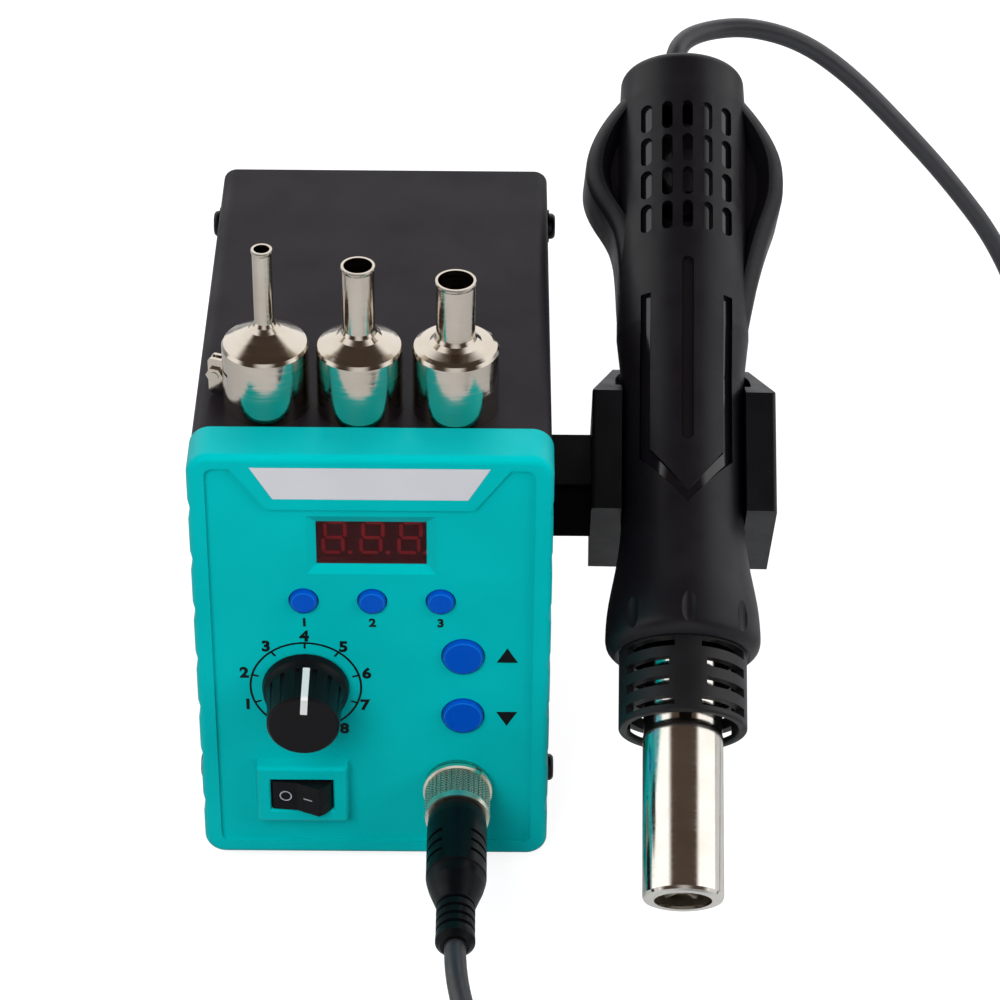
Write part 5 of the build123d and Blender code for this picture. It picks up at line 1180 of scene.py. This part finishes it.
@dataclass
class Stage:
    """Pale floor, soft lights and the camera."""

    camera_at: Point = (-0.00309, -0.789, 0.6569)
    pitch_deg: float = 35.82
    yaw_deg: float = 0.33
    roll_deg: float = 0.62
    lens_mm: float = 123.18
    floor_size: float = 30.0
    floor_z: float = -0.0005
    floor_white: float = 0.93
    floor_mirrored: float = 0.66
    floor_bounce: float = 0.36
    floor_glow: float = 1.4
    floor_glow_share: float = 0.6
    air: float = 0.42
    air_tint: Colour = (0.9, 0.93, 1.0, 1)
    # what shiny things mirror: a white sweep behind the bench, under a dark ceiling
    room: float = 0.075
    room_tint: Colour = (1.0, 0.72, 0.55, 1)
    pale_from: float = 0.5
    sweep: float = 1.25
    sweep_top_deg: Pair = (46.0, 58.0)
    sweep_front: Pair = (-0.62, -0.30)
    # a round soft box in front: its direction, outer and full half angle, and brightness
    box_toward: Point = (0.0, -1.0, 0.12)
    box_deg: Pair = (32.0, 10.0)
    box_bright: float = 0.9
    lamps: tuple[SoftLamp, ...] = (
        SoftLamp("key_lamp", (-0.32, -0.72, 0.66), (0.0, 0.0, 0.08), 0.5, 5.4),
        SoftLamp("fill_lamp", (1.2, -0.5, 0.9), (0.0, 0.0, 0.08), 0.8, 9.0),
        SoftLamp("top_lamp", (0.1, 0.9, 1.5), (0.0, 0.0, 0.1), 0.9, 7.0),
    )

    def add_camera(self) -> None:
        """Set the camera to look down at the station from the front."""
        turns = ((-self.yaw_deg, "Z"), (90 - self.pitch_deg, "X"), (self.roll_deg, "Z"))
        yaw, pitch, roll = (Matrix.Rotation(math.radians(deg), 4, axis) for deg, axis in turns)
        data = bpy.data.cameras.new("bench_camera")
        data.lens = self.lens_mm
        data.clip_end = 20
        camera = linked("bench_camera", data)
        camera.matrix_world = Matrix.Translation(self.camera_at) @ yaw @ pitch @ roll
        bpy.context.scene.camera = camera

    def add_floor(self) -> None:
        """Lay a wide pale floor, whiter to the camera than to what it lights."""
        floor = added(bpy.ops.mesh.primitive_plane_add, size=self.floor_size,
                      location=(0, 0, self.floor_z))
        floor.name = "pale_floor"
        made = bpy.data.materials.new("pale_floor")
        graph = Graph(emptied(made))
        path = graph.add("LightPath").outputs
        lit = graph.spread(path["Is Camera Ray"], self.floor_mirrored, self.floor_white, 0.0, 1.0)
        kept = graph.spread(path["Is Diffuse Ray"], 1.0, self.floor_bounce, 0.0, 1.0)
        shade = graph.add("BsdfDiffuse", {"Color": graph.maths("MULTIPLY", lit, kept)})
        glow = graph.add("Emission", {"Color": WHITE, "Strength": self.floor_glow})
        seen = graph.maths("MULTIPLY", path["Is Camera Ray"], self.floor_glow_share)
        graph.add("OutputMaterial", {"Surface": graph.mix(seen, shade, glow)})
        floor.data.materials.append(made)

    def add_world(self) -> None:
        """Light the air softly: white to the camera, a dim room with a bright wall to gloss."""
        world = bpy.data.worlds.new("soft_room")
        bpy.context.scene.world = world
        graph = Graph(emptied(world))
        path = graph.add("LightPath").outputs
        soft = graph.add("Background", {"Color": self.air_tint, "Strength": self.air})
        white = graph.add("Background", {"Color": WHITE, "Strength": 1.0})
        bright = self.reflected(graph)
        pale = graph.spread(bright, 0.0, 1.0, self.room, self.pale_from)
        hue = graph.blend(pale, self.room_tint, WHITE)
        mirrored = graph.add("Background", {"Strength": bright, "Color": hue})
        seen = graph.maths("MAXIMUM", path["Is Camera Ray"], path["Is Transmission Ray"])
        dim = graph.mix(path["Is Glossy Ray"], soft, mirrored)
        graph.add("OutputWorld", {"Surface": graph.mix(seen, dim, white)})

    def reflected(self, graph: Graph) -> Socket:
        """Add up what shiny things mirror: the white sweep and the soft box in front.

        Args:
            graph: The world's node graph.

        Returns:
            The brightness in each direction.
        """
        ray = graph.add("TexCoord").outputs["Generated"]
        axes = graph.add("SeparateXYZ", {0: ray}).outputs
        low, high = (math.sin(math.radians(a)) for a in self.sweep_top_deg)
        under = graph.spread(axes["Z"], self.sweep, 0.0, low, high, Ease.SMOOTH)
        behind = graph.spread(axes["Y"], 0.0, 1.0, *self.sweep_front, Ease.SMOOTH)
        wall = graph.maths("MULTIPLY_ADD", under, behind, self.room)
        facing = graph.vectors("DOT_PRODUCT", ray, Vector(self.box_toward).normalized())["Value"]
        dark, full = (math.cos(math.radians(a)) for a in self.box_deg)
        lobe = graph.spread(facing, 0.0, self.box_bright, dark, full, Ease.SMOOTH)
        return graph.maths("ADD", lobe, wall)

    def build(self) -> None:
        """Set up the room."""
        self.add_floor()
        self.add_world()
        for lamp in self.lamps:
            lamp.hang()


def dress_nodes() -> None:
    """Give every CAD node its finish."""
    for finish, names in DRESSED.items():
        finish.dress(*(frame["nodes"][name] for name in names.split()))
        log.info("%s: %s", finish.name, names)


def main() -> None:
    """Build and dress the station in order."""
    logging.basicConfig(level=logging.INFO, format="%(name)s: %(message)s")
    bpy.context.scene.view_settings.view_transform = "Standard"
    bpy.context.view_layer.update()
    stage = Stage()
    stage.add_camera()
    HandpieceCord().build()
    dress_nodes()
    PanelPrint().build()
    RockerMarks().build()
    DigitDisplay().build()
    stage.build()


if __name__ == "__main__":
    main()
